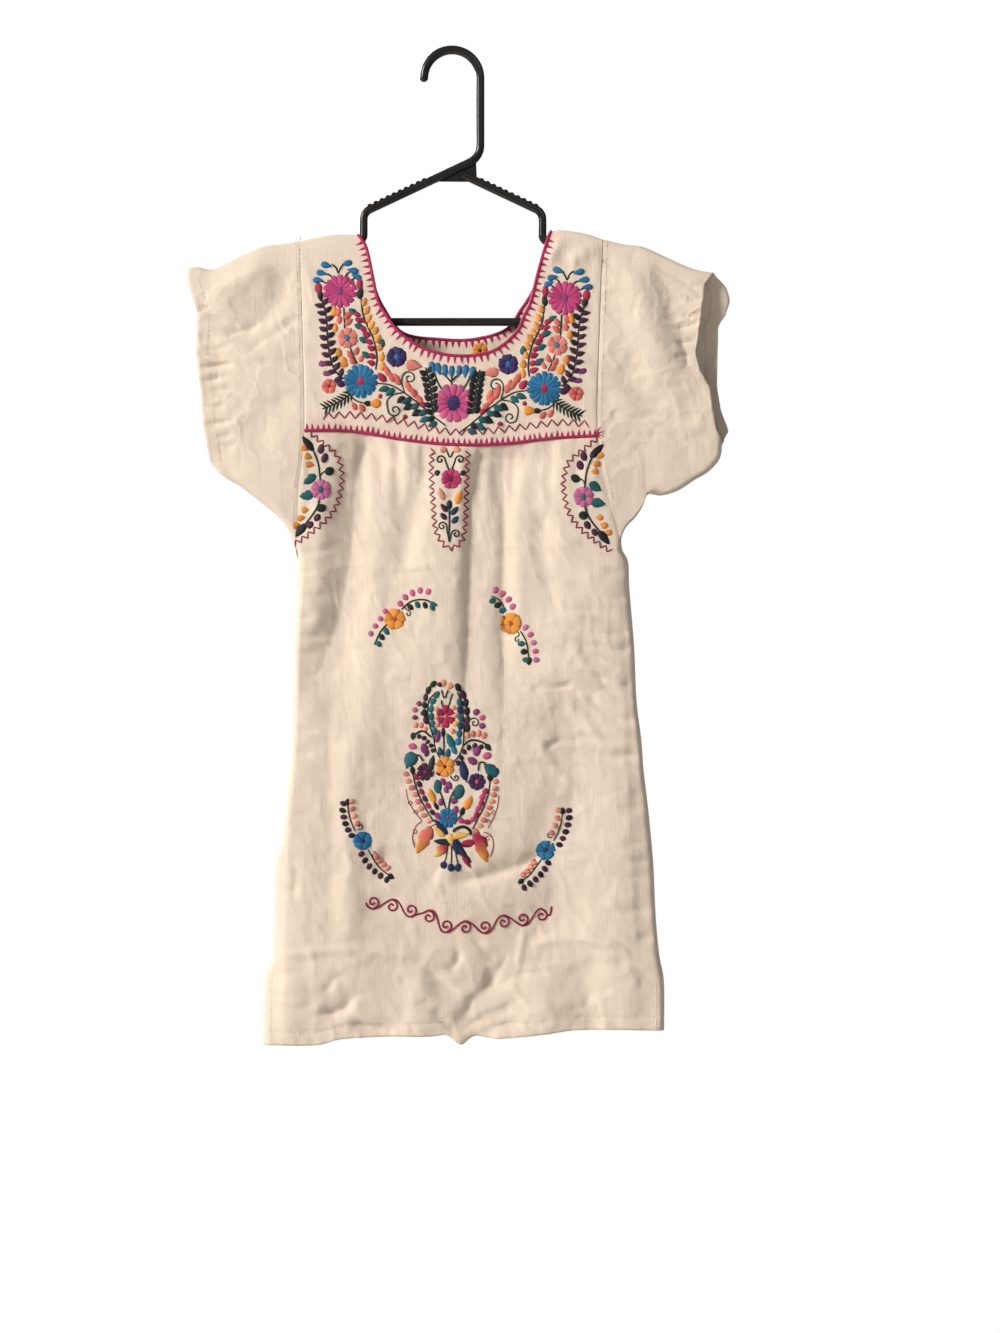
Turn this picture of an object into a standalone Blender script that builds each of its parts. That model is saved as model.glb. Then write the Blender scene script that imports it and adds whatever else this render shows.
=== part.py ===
"""A child's short embroidered cotton dress hanging on a tubular plastic hanger.

Metres, +Z up, +X to the viewer's right; the front of the dress faces -Y and the wall is on the +Y side.
The origin is the inner crown of the hanger's hook, where the wall's screw carries it.
Tables give the garment's outline as seen from the front, in millimetres from that origin.
"""

import math
from dataclasses import dataclass

import bmesh
import bpy
import numpy as np

MM = 0.001

# Cloth
WALL = 1.3
SEAM_HALF_GAP = 0.3
FOLD_HALF_GAP = 0.45
FRONT_SIDE_ROUND = 40.0
BACK_SIDE_ROUND = 26.0
FOLD_END_FADE = 0.2
UNDERARM_FOOT = -440.0
SLIT_TOP = -770.0
SLIT_OPENING = 3.5

# Hanger
TUBE_RADIUS = 3.3
TUBE_CLEARANCE = 0.1
HOOK_RADIUS = 23.6
HOOK_TUBE_RADIUS = 3.4
HANGER_MIDDLE = 0.8
WEB_THICKNESS = 3.4
ARC_STEP = math.radians(15.0)
RIDGE_RADIUS = TUBE_RADIUS + TUBE_CLEARANCE + WALL
HANGER_FOOT = -240.0

# Shoulder ridge where the cloth folds over the arms: columns x, z
RIDGE = (
    (-222, -180), (-214, -179), (-201, -181), (-186, -174), (-173, -168), (-159, -162), (-144, -160),
    (-131, -158), (-117, -155), (-99, -152), (-79, -152), (-60, -152), (60, -149), (83, -149), (91, -148),
    (112, -151), (127, -156), (145, -160), (160, -162), (174, -168), (188, -174.5), (204, -181), (220, -184),
)

# Neck edges from the left strap round to the right one: columns x, z. Three stretches each.
FRONT_NECK = (
    ((-79, -152), (-72, -163), (-67, -185), (-62, -208), (-56, -219)),
    ((-56, -219), (-44, -235), (-23, -249), (5, -255), (34, -251), (54, -235), (60, -222)),
    ((60, -222), (66, -209), (72, -185), (79, -160), (83, -149)),
)
BACK_NECK = (
    ((-79, -152), (-73, -172), (-65, -197), (-57, -214)),
    ((-57, -214), (-41, -234), (-9, -239), (19, -239), (45, -231), (58, -214)),
    ((58, -214), (68, -190), (76, -168), (83, -149)),
)

# Seams: columns x, z
LEFT_ARMHOLE = ((-128, -157), (-125, -226), (-123, -317), (-128, -366), (-129, -425))
RIGHT_ARMHOLE = ((127, -156), (124, -226), (122, -321), (131, -375), (143, -417))
YOKE_SEAM = (
    (-123, -317), (-82, -317.5), (-41, -324.5), (0, -328.5), (41, -328), (82, -323.5), (122, -321),
)
HEM = (
    (-158, -830), (-114, -830), (-93, -825), (-62, -823), (-20, -823), (-4, -822), (8, -830), (19, -823),
    (41, -825), (76, -822), (110, -818), (178, -819),
)

# Silhouette below the sleeves: columns x, z
LEFT_UNDER_SLEEVE = (
    (-202, -344), (-193, -354), (-177, -364), (-159, -378), (-142, -393), (-133, -411), (-129, -425),
)
RIGHT_UNDER_SLEEVE = (
    (227, -327), (225, -340), (216, -351), (205, -358), (192, -367), (179, -371), (169, -370), (165, -380),
    (159, -389), (150, -398), (144, -409), (143, -417),
)
LEFT_SIDE = (
    (-129, -425), (-130, -457), (-132, -492), (-133, -543), (-134, -576), (-137, -611), (-143, -662),
    (-148, -679), (-150, -748), (-152, -763), (-157, -776), (-158, -830),
)
RIGHT_SIDE = (
    (143, -417), (148, -427), (149, -449), (153, -498), (155, -543), (159, -576), (161, -602), (165, -636),
    (169, -679), (171, -722), (174, -756), (178, -779), (178, -819),
)

# Cuff edges from the ridge down to the underside: columns z, x
LEFT_CUFF = ((-180, -222), (-190, -222), (-218, -213), (-250, -214), (-285, -210), (-311, -208), (-344, -202))
RIGHT_CUFF_FRONT = (
    (-184, 220), (-194, 212), (-225, 208), (-252, 204), (-265, 207), (-281, 216), (-296, 218), (-316, 221),
    (-327, 227),
)
RIGHT_CUFF_BACK = (
    (-184, 220), (-196, 231), (-207, 234), (-219, 230), (-228, 224), (-278, 223), (-298, 226), (-316, 233),
    (-327, 227),
)

# How far the walls stand off the hanger's plane down the garment, past the ridge: columns z, depth
FRONT_FULLNESS = (
    (-830, 20.0), (-700, 18.0), (-500, 17.0), (-400, 15.0), (-320, 11.0), (-250, 7.0), (-200, 4.0), (-150, 0.0),
)
BACK_FULLNESS = ((-830, 8.0), (-600, 7.0), (-400, 5.0), (-250, 3.0), (-150, 0.0))


@dataclass(frozen=True)
class Fold:
    """A trough in the cloth, or a ridge where its depth is negative, along a line seen from the front."""

    line: tuple
    left: float
    right: float
    depth: float


FRONT_FOLDS = (
    Fold(((-68, -322), (-82, -340), (-89, -386), (-92, -440), (-104, -484), (-127, -540)), 10, 6, 7.0),
    Fold(((-118, -550), (-116, -650), (-112, -700), (-110, -775)), 13, 13, 6.0),
    Fold(((-24, -345), (-36, -404), (-42, -440)), 10, 9, 3.2),
    Fold(((24, -330), (18, -358), (13, -404), (9, -475), (7, -540)), 6, 6, 6.0),
    Fold(((42, -330), (41, -369), (39, -420), (38, -470), (40, -530), (39, -590)), 7, 5, 7.0),
    Fold(((32, -332), (29, -400), (27, -470), (26, -540)), 6, 6, -3.0),
    Fold(((94, -510), (89, -563), (86, -610), (72, -650), (66, -672)), 11, 10, 4.5),
    Fold(((-8, -696), (24, -691), (46, -682), (67, -675), (82, -662)), 9, 9, 5.5),
    Fold(((-63, -672), (-37, -679), (-11, -695)), 12, 10, 3.0),
    Fold(((86, -674), (110, -669), (136, -674), (166, -678)), 8, 8, -3.0),
    Fold(((36, -772), (22, -790), (-4, -808)), 8, 6, 6.0),
    Fold(((-2, -812), (24, -807), (52, -796)), 6, 6, -4.0),
    Fold(((56, -806), (33, -815), (10, -828)), 7, 7, 5.0),
    Fold(((-79, -788), (-92, -800), (-112, -806)), 7, 7, 4.5),
    Fold(((-86, -808), (-66, -815), (-44, -817)), 7, 7, 3.5),
    Fold(((-134, -770), (-138, -832)), 12, 12, -3.0),
    Fold(((-24, -770), (-30, -826)), 14, 14, -3.0),
    Fold(((74, -762), (80, -824)), 14, 14, -3.0),
    Fold(((112, -756), (116, -822)), 14, 12, 3.5),
    Fold(((146, -760), (150, -822)), 12, 12, -2.5),
    Fold(((-105, -350), (-112, -430), (-116, -490)), 10, 10, -3.0),
    Fold(((-58, -340), (-64, -420), (-70, -520), (-74, -620)), 15, 15, -3.5),
    Fold(((57, -340), (56, -420), (56, -520)), 9, 10, -3.0),
    Fold(((-86, -560), (-86, -650), (-84, -750)), 12, 12, -3.5),
    Fold(((128, -430), (132, -540), (138, -640)), 12, 12, -3.0),
    Fold(((-144, -174), (-150, -203), (-160, -218), (-170, -233), (-191, -240)), 8, 8, 3.5),
    Fold(((-113, -219), (-128, -228), (-140, -238), (-151, -244), (-164, -254)), 6, 6, 3.0),
    Fold(((-143, -291), (-170, -310), (-196, -326)), 11, 11, 4.0),
    Fold(((-206, -186), (-222, -212)), 8, 8, 4.0),
    Fold(((-212, -222), (-192, -194), (-160, -174)), 8, 8, -2.5),
    Fold(((149, -176), (163, -194), (172, -213), (187, -249), (197, -270)), 12, 7, 5.0),
    Fold(((144, -270), (160, -283), (181, -294), (199, -307), (220, -317)), 7, 7, 3.0),
    Fold(((94, -154), (81, -178)), 6, 6, -2.0),
    Fold(((124, -160), (97, -176)), 6, 6, -2.0),
)
BACK_FOLDS = (
    Fold(((-84, -330), (-90, -420), (-96, -560), (-98, -700)), 14, 14, 3.5),
    Fold(((-30, -332), (-34, -450), (-38, -620), (-40, -760)), 13, 13, 3.0),
    Fold(((34, -332), (34, -480), (38, -640)), 13, 13, 3.5),
    Fold(((92, -330), (98, -450), (106, -600), (112, -780)), 15, 14, 3.5),
    Fold(((-150, -176), (-168, -240), (-186, -320)), 12, 12, 2.0),
    Fold(((150, -176), (170, -240), (196, -310)), 12, 12, 2.0),
)

# Share of the way across or down at which the grid lines lie close to a folded edge
EDGE_SHARES = (0.0, 0.002, 0.0075, 0.018, 0.037)
RIDGE_DROPS = (0.0, 0.5, 1.7, 3.6, 7.0)


class Line:
    """A smooth line through the rows (x, z) of a table, as seen from the front."""

    STEPS = 6

    def __init__(self, rows):
        knots = np.array(rows, float)
        before = 2 * knots[0] - knots[1]
        after = 2 * knots[-1] - knots[-2]
        padded = np.vstack([before, knots, after])
        points = []
        for a, b, c, d in zip(padded[:-3], padded[1:-2], padded[2:-1], padded[3:]):
            for step in range(self.STEPS):
                t = step / self.STEPS
                points.append(
                    0.5 * (2 * b + (c - a) * t + (2 * a - 5 * b + 4 * c - d) * t * t
                           + (3 * b - a - 3 * c + d) * t ** 3)
                )
        points.append(knots[-1])
        self.points = np.array(points)
        steps = np.linalg.norm(np.diff(self.points, axis=0), axis=1)
        self.reach = np.concatenate([[0.0], np.cumsum(steps)])
        self.length = self.reach[-1]

    def at(self, distance):
        """The points at these distances along the line."""
        x = np.interp(distance, self.reach, self.points[:, 0])
        z = np.interp(distance, self.reach, self.points[:, 1])
        return x, z

    def near(self, x, z):
        """Each point's distance from the line, the side it is on (+1 at +X of a falling line) and its share along."""
        start = self.points[:-1]
        span = np.diff(self.points, axis=0)
        span_square = (span ** 2).sum(axis=1)
        dx = np.ravel(x)[:, None] - start[:, 0]
        dz = np.ravel(z)[:, None] - start[:, 1]
        t = np.clip((dx * span[:, 0] + dz * span[:, 1]) / span_square, 0.0, 1.0)
        gap = np.hypot(dx - t * span[:, 0], dz - t * span[:, 1])
        best = gap.argmin(axis=1)
        row = np.arange(len(best))
        side = np.sign(dz[row, best] * span[best, 0] - dx[row, best] * span[best, 1])
        share = (self.reach[best] + t[row, best] * np.sqrt(span_square[best])) / self.length
        shape = np.shape(x)
        return gap[row, best].reshape(shape), side.reshape(shape), share.reshape(shape)


def table(rows, value):
    """Reads a table of two columns, the first one rising, at these values."""
    columns = np.array(sorted(rows), float)
    return np.interp(value, columns[:, 0], columns[:, 1])


def eased(share):
    """0 to 1 with flat ends."""
    share = np.clip(share, 0.0, 1.0)
    return share * share * (3 - 2 * share)


def rounded(share):
    """A quarter circle: upright at 0 and level at 1."""
    share = np.clip(share, 0.0, 1.0)
    return np.sqrt(1.0 - (1.0 - share) ** 2)


RIDGE_LINE = Line(RIDGE)
OUTLINES = (Line(LEFT_UNDER_SLEEVE + LEFT_SIDE[1:]), Line(RIGHT_UNDER_SLEEVE + RIGHT_SIDE[1:]))
FOLD_LINES = {fold: Line(fold.line) for fold in FRONT_FOLDS + BACK_FOLDS}


def ridge(x):
    """Height of the shoulder ridge."""
    return np.interp(x, RIDGE_LINE.points[:, 0], RIDGE_LINE.points[:, 1])


def fold_depth(folds, x, z):
    """How far all the folds push the cloth in."""
    total = np.zeros(np.shape(x))
    for fold in folds:
        gap, side, share = FOLD_LINES[fold].near(x, z)
        width = np.where(side > 0, fold.right, fold.left)
        ends = eased(np.minimum(share, 1 - share) / FOLD_END_FADE + 0.25)
        total += fold.depth * ends * np.exp(-((gap / width) ** 2))
    return total


def stand_off(x, z, fullness, side_round, folds):
    """How far a wall's outer face stands off the hanger's plane."""
    drop = ridge(x) - z
    over_arm = RIDGE_RADIUS * rounded(drop / RIDGE_RADIUS)
    towards_cuff = 1.0 - 0.45 * eased((np.abs(x) - 110) / 110)
    growth = table(fullness, z) * towards_cuff * eased(drop / 90)
    edge = np.minimum(*(outline.near(x, z)[0] for outline in OUTLINES))
    closing = rounded(edge / side_round)
    pressed = fold_depth(folds, x, z) * closing * eased(drop / 25)
    depth = over_arm + growth - pressed
    least = np.where(z > HANGER_FOOT, over_arm + 0.2, over_arm)
    depth = np.maximum(depth, least)
    slit = SLIT_OPENING * eased((SLIT_TOP - z) / 50) * (1 - closing)
    return depth * closing + slit


def front(x, z):
    """Depth of the front walls' outer face, on the -Y side."""
    return -stand_off(x, z, FRONT_FULLNESS, FRONT_SIDE_ROUND, FRONT_FOLDS)


def back(x, z):
    """Depth of the back walls' outer face, on the +Y side."""
    return stand_off(x, z, BACK_FULLNESS, BACK_SIDE_ROUND, BACK_FOLDS)


def principled(name, colour, roughness):
    """A plain material of this colour."""
    material = bpy.data.materials.new(name)
    material.use_nodes = True
    shader = material.node_tree.nodes["Principled BSDF"]
    shader.inputs["Base Color"].default_value = (*colour, 1.0)
    shader.inputs["Roughness"].default_value = roughness
    shader.inputs["Metallic"].default_value = 0.0
    return material


def cloth_wall(name, x, y, z, material, collection, outward_front, tube=False):
    """A wall of cloth through a grid of points of its outer face. A tube's last column closes on its first."""
    rows, columns = x.shape
    bm = bmesh.new()
    bmesh.ops.create_grid(bm, x_segments=columns - 1, y_segments=rows - 1, size=1.0)
    for vert in bm.verts:
        i = round((vert.co.y + 1) / 2 * (rows - 1))
        j = round((vert.co.x + 1) / 2 * (columns - 1))
        vert.co = (x[i, j] * MM, y[i, j] * MM, z[i, j] * MM)
    if not outward_front:
        bmesh.ops.reverse_faces(bm, faces=bm.faces)
    if tube:
        bmesh.ops.remove_doubles(bm, verts=bm.verts, dist=0.00002)
    mesh = bpy.data.meshes.new(name)
    bm.to_mesh(mesh)
    bm.free()
    mesh.shade_smooth()
    mesh.materials.append(material)
    wall = bpy.data.objects.new(name, mesh)
    collection.objects.link(wall)
    solidify = wall.modifiers.new("wall", "SOLIDIFY")
    solidify.thickness = WALL * MM
    solidify.offset = -1.0
    solidify.use_even_offset = False
    return wall


def crowded(middle):
    """Shares across a panel whose two side edges are folded."""
    inner = np.linspace(EDGE_SHARES[-1], 1 - EDGE_SHARES[-1], middle + 1)
    mirrored = [1 - share for share in reversed(EDGE_SHARES[:-1])]
    return np.array([*EDGE_SHARES[:-1], *inner, *mirrored])


def side_edge(armhole, side, z):
    """How far to the side a panel reaches: to the armhole above the underarm, and to its side seam below."""
    lines = (Line(armhole), Line(side))
    above, below = (np.interp(-z, -line.points[:, 1], line.points[:, 0]) for line in lines)
    return np.where(z > armhole[-1][1], above, below)


def panel_grid(columns, rows, hem_lift):
    """Points of a body panel: rows run from the yoke seam to the hem, columns between the two sides."""
    seam = Line(YOKE_SEAM)
    hem = Line(HEM)
    across = crowded(columns)
    down = np.concatenate([np.linspace(0, 0.62, rows[0] + 1)[:-1], np.linspace(0.62, 1, rows[1] + 1)])
    u, v = np.meshgrid(across, down)
    top_x = np.interp(u, (0, 1), (seam.points[0, 0], seam.points[-1, 0]))
    top = np.interp(top_x, seam.points[:, 0], seam.points[:, 1]) - SEAM_HALF_GAP
    foot_x = np.interp(u, (0, 1), (hem.points[0, 0], hem.points[-1, 0]))
    foot = np.interp(foot_x, hem.points[:, 0], hem.points[:, 1]) + hem_lift
    z = top + (foot - top) * v
    sewn = SEAM_HALF_GAP * eased((z - UNDERARM_FOOT) / 20)
    left_x = side_edge(LEFT_ARMHOLE, LEFT_SIDE, z) + sewn
    right_x = side_edge(RIGHT_ARMHOLE, RIGHT_SIDE, z) - sewn
    return left_x + (right_x - left_x) * u, z


def build_body(collection, cloth):
    """Front and back panels below the yoke, open at the hem and in the side slits."""
    x, z = panel_grid(46, (13, 12), 0.0)
    y = front(x, z) - FOLD_HALF_GAP
    cloth_wall("front_body", x, y, z, cloth, collection, outward_front=False)
    x, z = panel_grid(20, (10, 6), 4.0)
    y = back(x, z) + FOLD_HALF_GAP
    cloth_wall("back_body", x, y, z, cloth, collection, outward_front=True)


def strap_stations(length, count):
    """Distances down a strap's edge, crowded where it folds over the hanger."""
    return np.concatenate([RIDGE_DROPS[:-1], np.linspace(RIDGE_DROPS[-1], length, count + 1)])


def strap_edges(neck_rows, armhole_rows, corner_z, count):
    """Points down both edges of a strap: its neck edge, and its armhole as far as the yoke's corner."""
    neck = Line(neck_rows)
    armhole = Line(armhole_rows)
    corner = np.interp(-corner_z, -armhole.points[:, 1], armhole.reach)
    return (*neck.at(strap_stations(neck.length, count)), *armhole.at(strap_stations(corner, count)))


def yoke_grid(neck, strap_count, bottom_count, across_count):
    """Points of a yoke: rows run round the neck from strap to strap, columns from the neck out to the seams."""
    left = strap_edges(neck[0], LEFT_ARMHOLE, YOKE_SEAM[0][1], strap_count)
    right = strap_edges(tuple(reversed(neck[2])), RIGHT_ARMHOLE, YOKE_SEAM[-1][1], strap_count)
    below = []
    for line in (Line(neck[1]), Line(YOKE_SEAM)):
        below.extend(line.at(np.linspace(0, line.length, bottom_count + 1)[1:-1]))
    stretches = zip(left, below, right)
    inner_x, inner_z, outer_x, outer_z = (np.concatenate([a, b, c[::-1]])[:, None] for a, b, c in stretches)
    across = np.linspace(0, 1, across_count + 1)[None, :]
    x = inner_x + (outer_x - inner_x) * across
    z = inner_z + (outer_z - inner_z) * across
    for top in (0, -1):
        chord = z[top]
        lift = ridge(x[top]) - chord
        fade = 1 - eased((chord.max() - z) / 60)
        near_top = np.sign(x) == np.sign(x[top, 0])
        z = z + np.where(near_top, lift[None, :] * fade, 0.0)
    middle = (x.max() + x.min()) / 2
    seam_side = across * SEAM_HALF_GAP * np.clip((middle - x) / 60, -1, 1)
    lift_seam = across * SEAM_HALF_GAP * eased((-300 - z) / 16)
    return x + seam_side, z + lift_seam


def build_yokes(collection, cloth):
    """Front and back yokes, which meet on the shoulder ridge."""
    x, z = yoke_grid(FRONT_NECK, 8, 15, 8)
    y = front(x, z) - FOLD_HALF_GAP
    cloth_wall("front_yoke", x, y, z, cloth, collection, outward_front=True)
    x, z = yoke_grid(BACK_NECK, 6, 15, 5)
    y = back(x, z) + FOLD_HALF_GAP
    cloth_wall("back_yoke", x, y, z, cloth, collection, outward_front=False)


def sleeve_half(armhole, under, cuff, sign, shares, along):
    """Points of one side of a sleeve, from the ridge down to the underside."""
    arm = Line(armhole)
    bottom = Line(tuple(reversed(under)))
    cuff_rows = sorted(cuff)
    s, q = np.meshgrid(along, shares, indexing="ij")
    cuff_top = (cuff[0][1], cuff[0][0])
    top_x = armhole[0][0] + (cuff_top[0] - armhole[0][0]) * s
    top_z = ridge(top_x)
    foot_x, foot_z = bottom.at(s * bottom.length)
    x = top_x + (foot_x - top_x) * q
    z = top_z + (foot_z - top_z) * q
    arm_line = np.interp(-z, -arm.points[:, 1], arm.points[:, 0])
    arm_chord = armhole[0][0] + (under[-1][0] - armhole[0][0]) * q
    cuff_line = table(cuff_rows, z)
    cuff_chord = cuff_top[0] + (under[0][0] - cuff_top[0]) * q
    x = x + (1 - s) ** 2 * (arm_line - arm_chord) + s ** 2 * (cuff_line - cuff_chord)
    return x + sign * SEAM_HALF_GAP * (1 - s), z


def build_sleeve(name, armhole, under, cuffs, sign, collection, cloth):
    """One sleeve: a tube folded over the arm of the hanger and sewn along its underside."""
    along = np.linspace(0, 1, 12)
    shares = np.concatenate([(0.0, 0.002, 0.008, 0.02, 0.045), np.linspace(0.1, 0.9, 9),
                             (0.955, 0.985, 0.997, 1.0)])
    front_x, front_z = sleeve_half(armhole, under, cuffs[0], sign, shares, along)
    back_shares = np.concatenate([(0.0, 0.002, 0.008, 0.02, 0.045), np.linspace(0.12, 0.88, 6),
                                  (0.955, 0.985, 0.997, 1.0)])
    back_x, back_z = sleeve_half(armhole, under, cuffs[1], sign, back_shares, along)
    front_y = front(front_x, front_z)
    back_y = back(back_x, back_z)
    for y in (front_y, back_y):
        y[:, 0] = 0.0
        y[:, -1] = 0.0
    x = np.hstack([front_x, back_x[:, -2::-1]])
    y = np.hstack([front_y, back_y[:, -2::-1]])
    z = np.hstack([front_z, back_z[:, -2::-1]])
    x[:, -1] = x[:, 0]
    z[:, -1] = z[:, 0]
    cloth_wall(name, x, y, z, cloth, collection, outward_front=sign < 0, tube=True)


def rounded_route(corners):
    """Points along a route whose corners (x, z, radius) are rounded by arcs."""
    points = [np.array(corners[0][:2], float)]
    for before, corner, after in zip(corners, corners[1:], corners[2:]):
        here = np.array(corner[:2], float)
        come = np.array(before[:2], float) - here
        leave = np.array(after[:2], float) - here
        come /= np.linalg.norm(come)
        leave /= np.linalg.norm(leave)
        opening = math.acos(float(np.clip(come @ leave, -1, 1)))
        radius = corner[2]
        centre = here + (come + leave) / np.linalg.norm(come + leave) * radius / math.sin(opening / 2)
        start = here + come * radius / math.tan(opening / 2) - centre
        turn = math.pi - opening
        steps = max(2, math.ceil(turn / ARC_STEP))
        spin = np.sign(start[0] * (here - centre)[1] - start[1] * (here - centre)[0])
        for step in range(steps + 1):
            angle = spin * turn * step / steps
            cosine, sine = math.cos(angle), math.sin(angle)
            points.append(centre + (start[0] * cosine - start[1] * sine, start[0] * sine + start[1] * cosine))
    points.append(np.array(corners[-1][:2], float))
    return points


def hanger_route():
    """The moulding's centre line: hook, stem, left arm, bottom bar, and right arm up to the web."""
    centre = -(HOOK_RADIUS - HOOK_TUBE_RADIUS)
    hook = [
        (HOOK_RADIUS * math.cos(angle), centre + HOOK_RADIUS * math.sin(angle))
        for angle in np.linspace(math.pi, 0, 17)
    ]
    left = (
        (-74.3, -133.0, 9.0), (-74.3, -157.6, 6.5), (-159.0, -166.3, 40.0), (-201.5, -186.0, 13.0),
        (-198.5, -225.1, 13.0),
    )
    right = tuple((2 * HANGER_MIDDLE - x, z, radius) for x, z, radius in reversed(left))
    stem = (HOOK_RADIUS, -87.0, 16.0)
    right_slope_end = (9.0, -101.4)
    corners = ((HOOK_RADIUS, centre), stem, *left, *right, right_slope_end)
    return hook[:-1] + [tuple(point) for point in rounded_route(corners)]


def curve_tube(name, route, radius):
    """A capped tube along a route in the hanger's plane."""
    curve = bpy.data.curves.new(name, "CURVE")
    curve.dimensions = "3D"
    curve.bevel_depth = radius * MM
    curve.bevel_resolution = 2
    curve.use_fill_caps = True
    spline = curve.splines.new("POLY")
    spline.points.add(len(route) - 1)
    for point, (x, z) in zip(spline.points, route):
        point.co = (x * MM, 0.0, z * MM, 1.0)
    tube = bpy.data.objects.new(name, curve)
    bpy.context.scene.collection.objects.link(tube)
    return tube


def as_mesh(source, name, collection):
    """The evaluated mesh of a curve as an object of its own, with its caps welded."""
    bpy.context.view_layer.update()
    evaluated = source.evaluated_get(bpy.context.evaluated_depsgraph_get())
    mesh = bpy.data.meshes.new_from_object(evaluated)
    mesh.name = name
    bm = bmesh.new()
    bm.from_mesh(mesh)
    bmesh.ops.remove_doubles(bm, verts=bm.verts, dist=0.00001)
    bmesh.ops.recalc_face_normals(bm, faces=bm.faces)
    bm.to_mesh(mesh)
    bm.free()
    made = bpy.data.objects.new(name, mesh)
    made.matrix_world = source.matrix_world
    collection.objects.link(made)
    bpy.data.objects.remove(source)
    return made


def build_hanger(collection, cutters, plastic):
    """One plastic moulding: a bent tube with a flat web where its arms meet."""
    tube = as_mesh(curve_tube("hanger_tube", hanger_route(), TUBE_RADIUS), "hanger", collection)
    tube.data.materials.clear()
    tube.data.materials.append(plastic)
    outline = ((-17.2, -107.8), (3.0, -97.4), (13.5, -91.6), (20.5, -84.0), (21.5, -104.5), (16.5, -108.0))
    web = bpy.data.curves.new("hanger_web", "CURVE")
    web.dimensions = "2D"
    web.fill_mode = "BOTH"
    web.extrude = WEB_THICKNESS / 2 * MM
    spline = web.splines.new("POLY")
    spline.points.add(len(outline) - 1)
    for point, (x, z) in zip(spline.points, outline):
        point.co = (x * MM, z * MM, 0.0, 1.0)
    spline.use_cyclic_u = True
    flat = bpy.data.objects.new("hanger_web", web)
    flat.rotation_euler = (math.pi / 2, 0.0, 0.0)
    bpy.context.scene.collection.objects.link(flat)
    plate = as_mesh(flat, "hanger_web_plate", cutters)
    plate.display_type = "WIRE"
    plate.hide_render = True
    union = tube.modifiers.new("web", "BOOLEAN")
    union.operation = "UNION"
    union.object = plate
    for polygon in tube.data.polygons:
        polygon.use_smooth = True


def main():
    """Builds the dress and its hanger."""
    for found in list(bpy.data.objects):
        bpy.data.objects.remove(found, do_unlink=True)
    collection = bpy.data.collections.new("embroidered_dress_on_hanger")
    cutters = bpy.data.collections.new("cutters")
    cutters.hide_render = True
    bpy.context.scene.collection.children.link(collection)
    bpy.context.scene.collection.children.link(cutters)
    cloth = principled("cream_cotton", (0.82, 0.73, 0.60), 0.9)
    plastic = principled("black_plastic", (0.02, 0.02, 0.022), 0.35)
    build_hanger(collection, cutters, plastic)
    build_yokes(collection, cloth)
    build_body(collection, cloth)
    build_sleeve("sleeve_left", LEFT_ARMHOLE, LEFT_UNDER_SLEEVE, (LEFT_CUFF, LEFT_CUFF), -1, collection, cloth)
    build_sleeve(
        "sleeve_right", RIGHT_ARMHOLE, RIGHT_UNDER_SLEEVE, (RIGHT_CUFF_FRONT, RIGHT_CUFF_BACK), 1,
        collection, cloth,
    )


main()
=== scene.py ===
"""An embroidered cotton dress on a tubular plastic hanger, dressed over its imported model.

Tables are in millimetres from the inner crown of the hanger's hook, as seen from the front: x to the
viewer's right and z up. The front of the dress faces -Y. Meshes are in metres.
"""

from __future__ import annotations

import logging
import math
from collections.abc import Callable, Iterator, Sequence
from contextlib import contextmanager
from dataclasses import dataclass, field
from enum import Enum

import bpy
import numpy as np
from mathutils import Matrix, Vector

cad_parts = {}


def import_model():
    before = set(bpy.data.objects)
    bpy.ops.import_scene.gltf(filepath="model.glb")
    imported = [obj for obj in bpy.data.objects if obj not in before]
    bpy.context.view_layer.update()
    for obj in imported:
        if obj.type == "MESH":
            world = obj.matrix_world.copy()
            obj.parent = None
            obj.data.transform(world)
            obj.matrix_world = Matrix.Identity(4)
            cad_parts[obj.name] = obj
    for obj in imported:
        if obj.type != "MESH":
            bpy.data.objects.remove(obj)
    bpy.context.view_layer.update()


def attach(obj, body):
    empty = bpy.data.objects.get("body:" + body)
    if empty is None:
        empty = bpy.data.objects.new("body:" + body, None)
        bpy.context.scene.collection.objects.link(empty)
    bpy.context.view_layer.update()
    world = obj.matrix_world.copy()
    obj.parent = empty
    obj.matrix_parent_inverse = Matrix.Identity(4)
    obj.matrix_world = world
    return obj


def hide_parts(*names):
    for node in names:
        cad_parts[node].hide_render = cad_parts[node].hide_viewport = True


LOG = logging.getLogger("dress")
MM = 0.001
Rows = Sequence[tuple[float, float]]
Array = np.ndarray
Colour = tuple[float, float, float, float]
Sockets = bpy.types.NodeInputs | bpy.types.NodeOutputs

# Gap that keeps a face off the one beside it, and how far the yoke reaches to both sides, in millimetres.
CLEARANCE = 0.05
YOKE_REACH = 124.0
# How steeply a fold's narrow and wide sides fall off.
SHARP_SIDE = 1.15
SOFT_SIDE = 2.0

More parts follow.
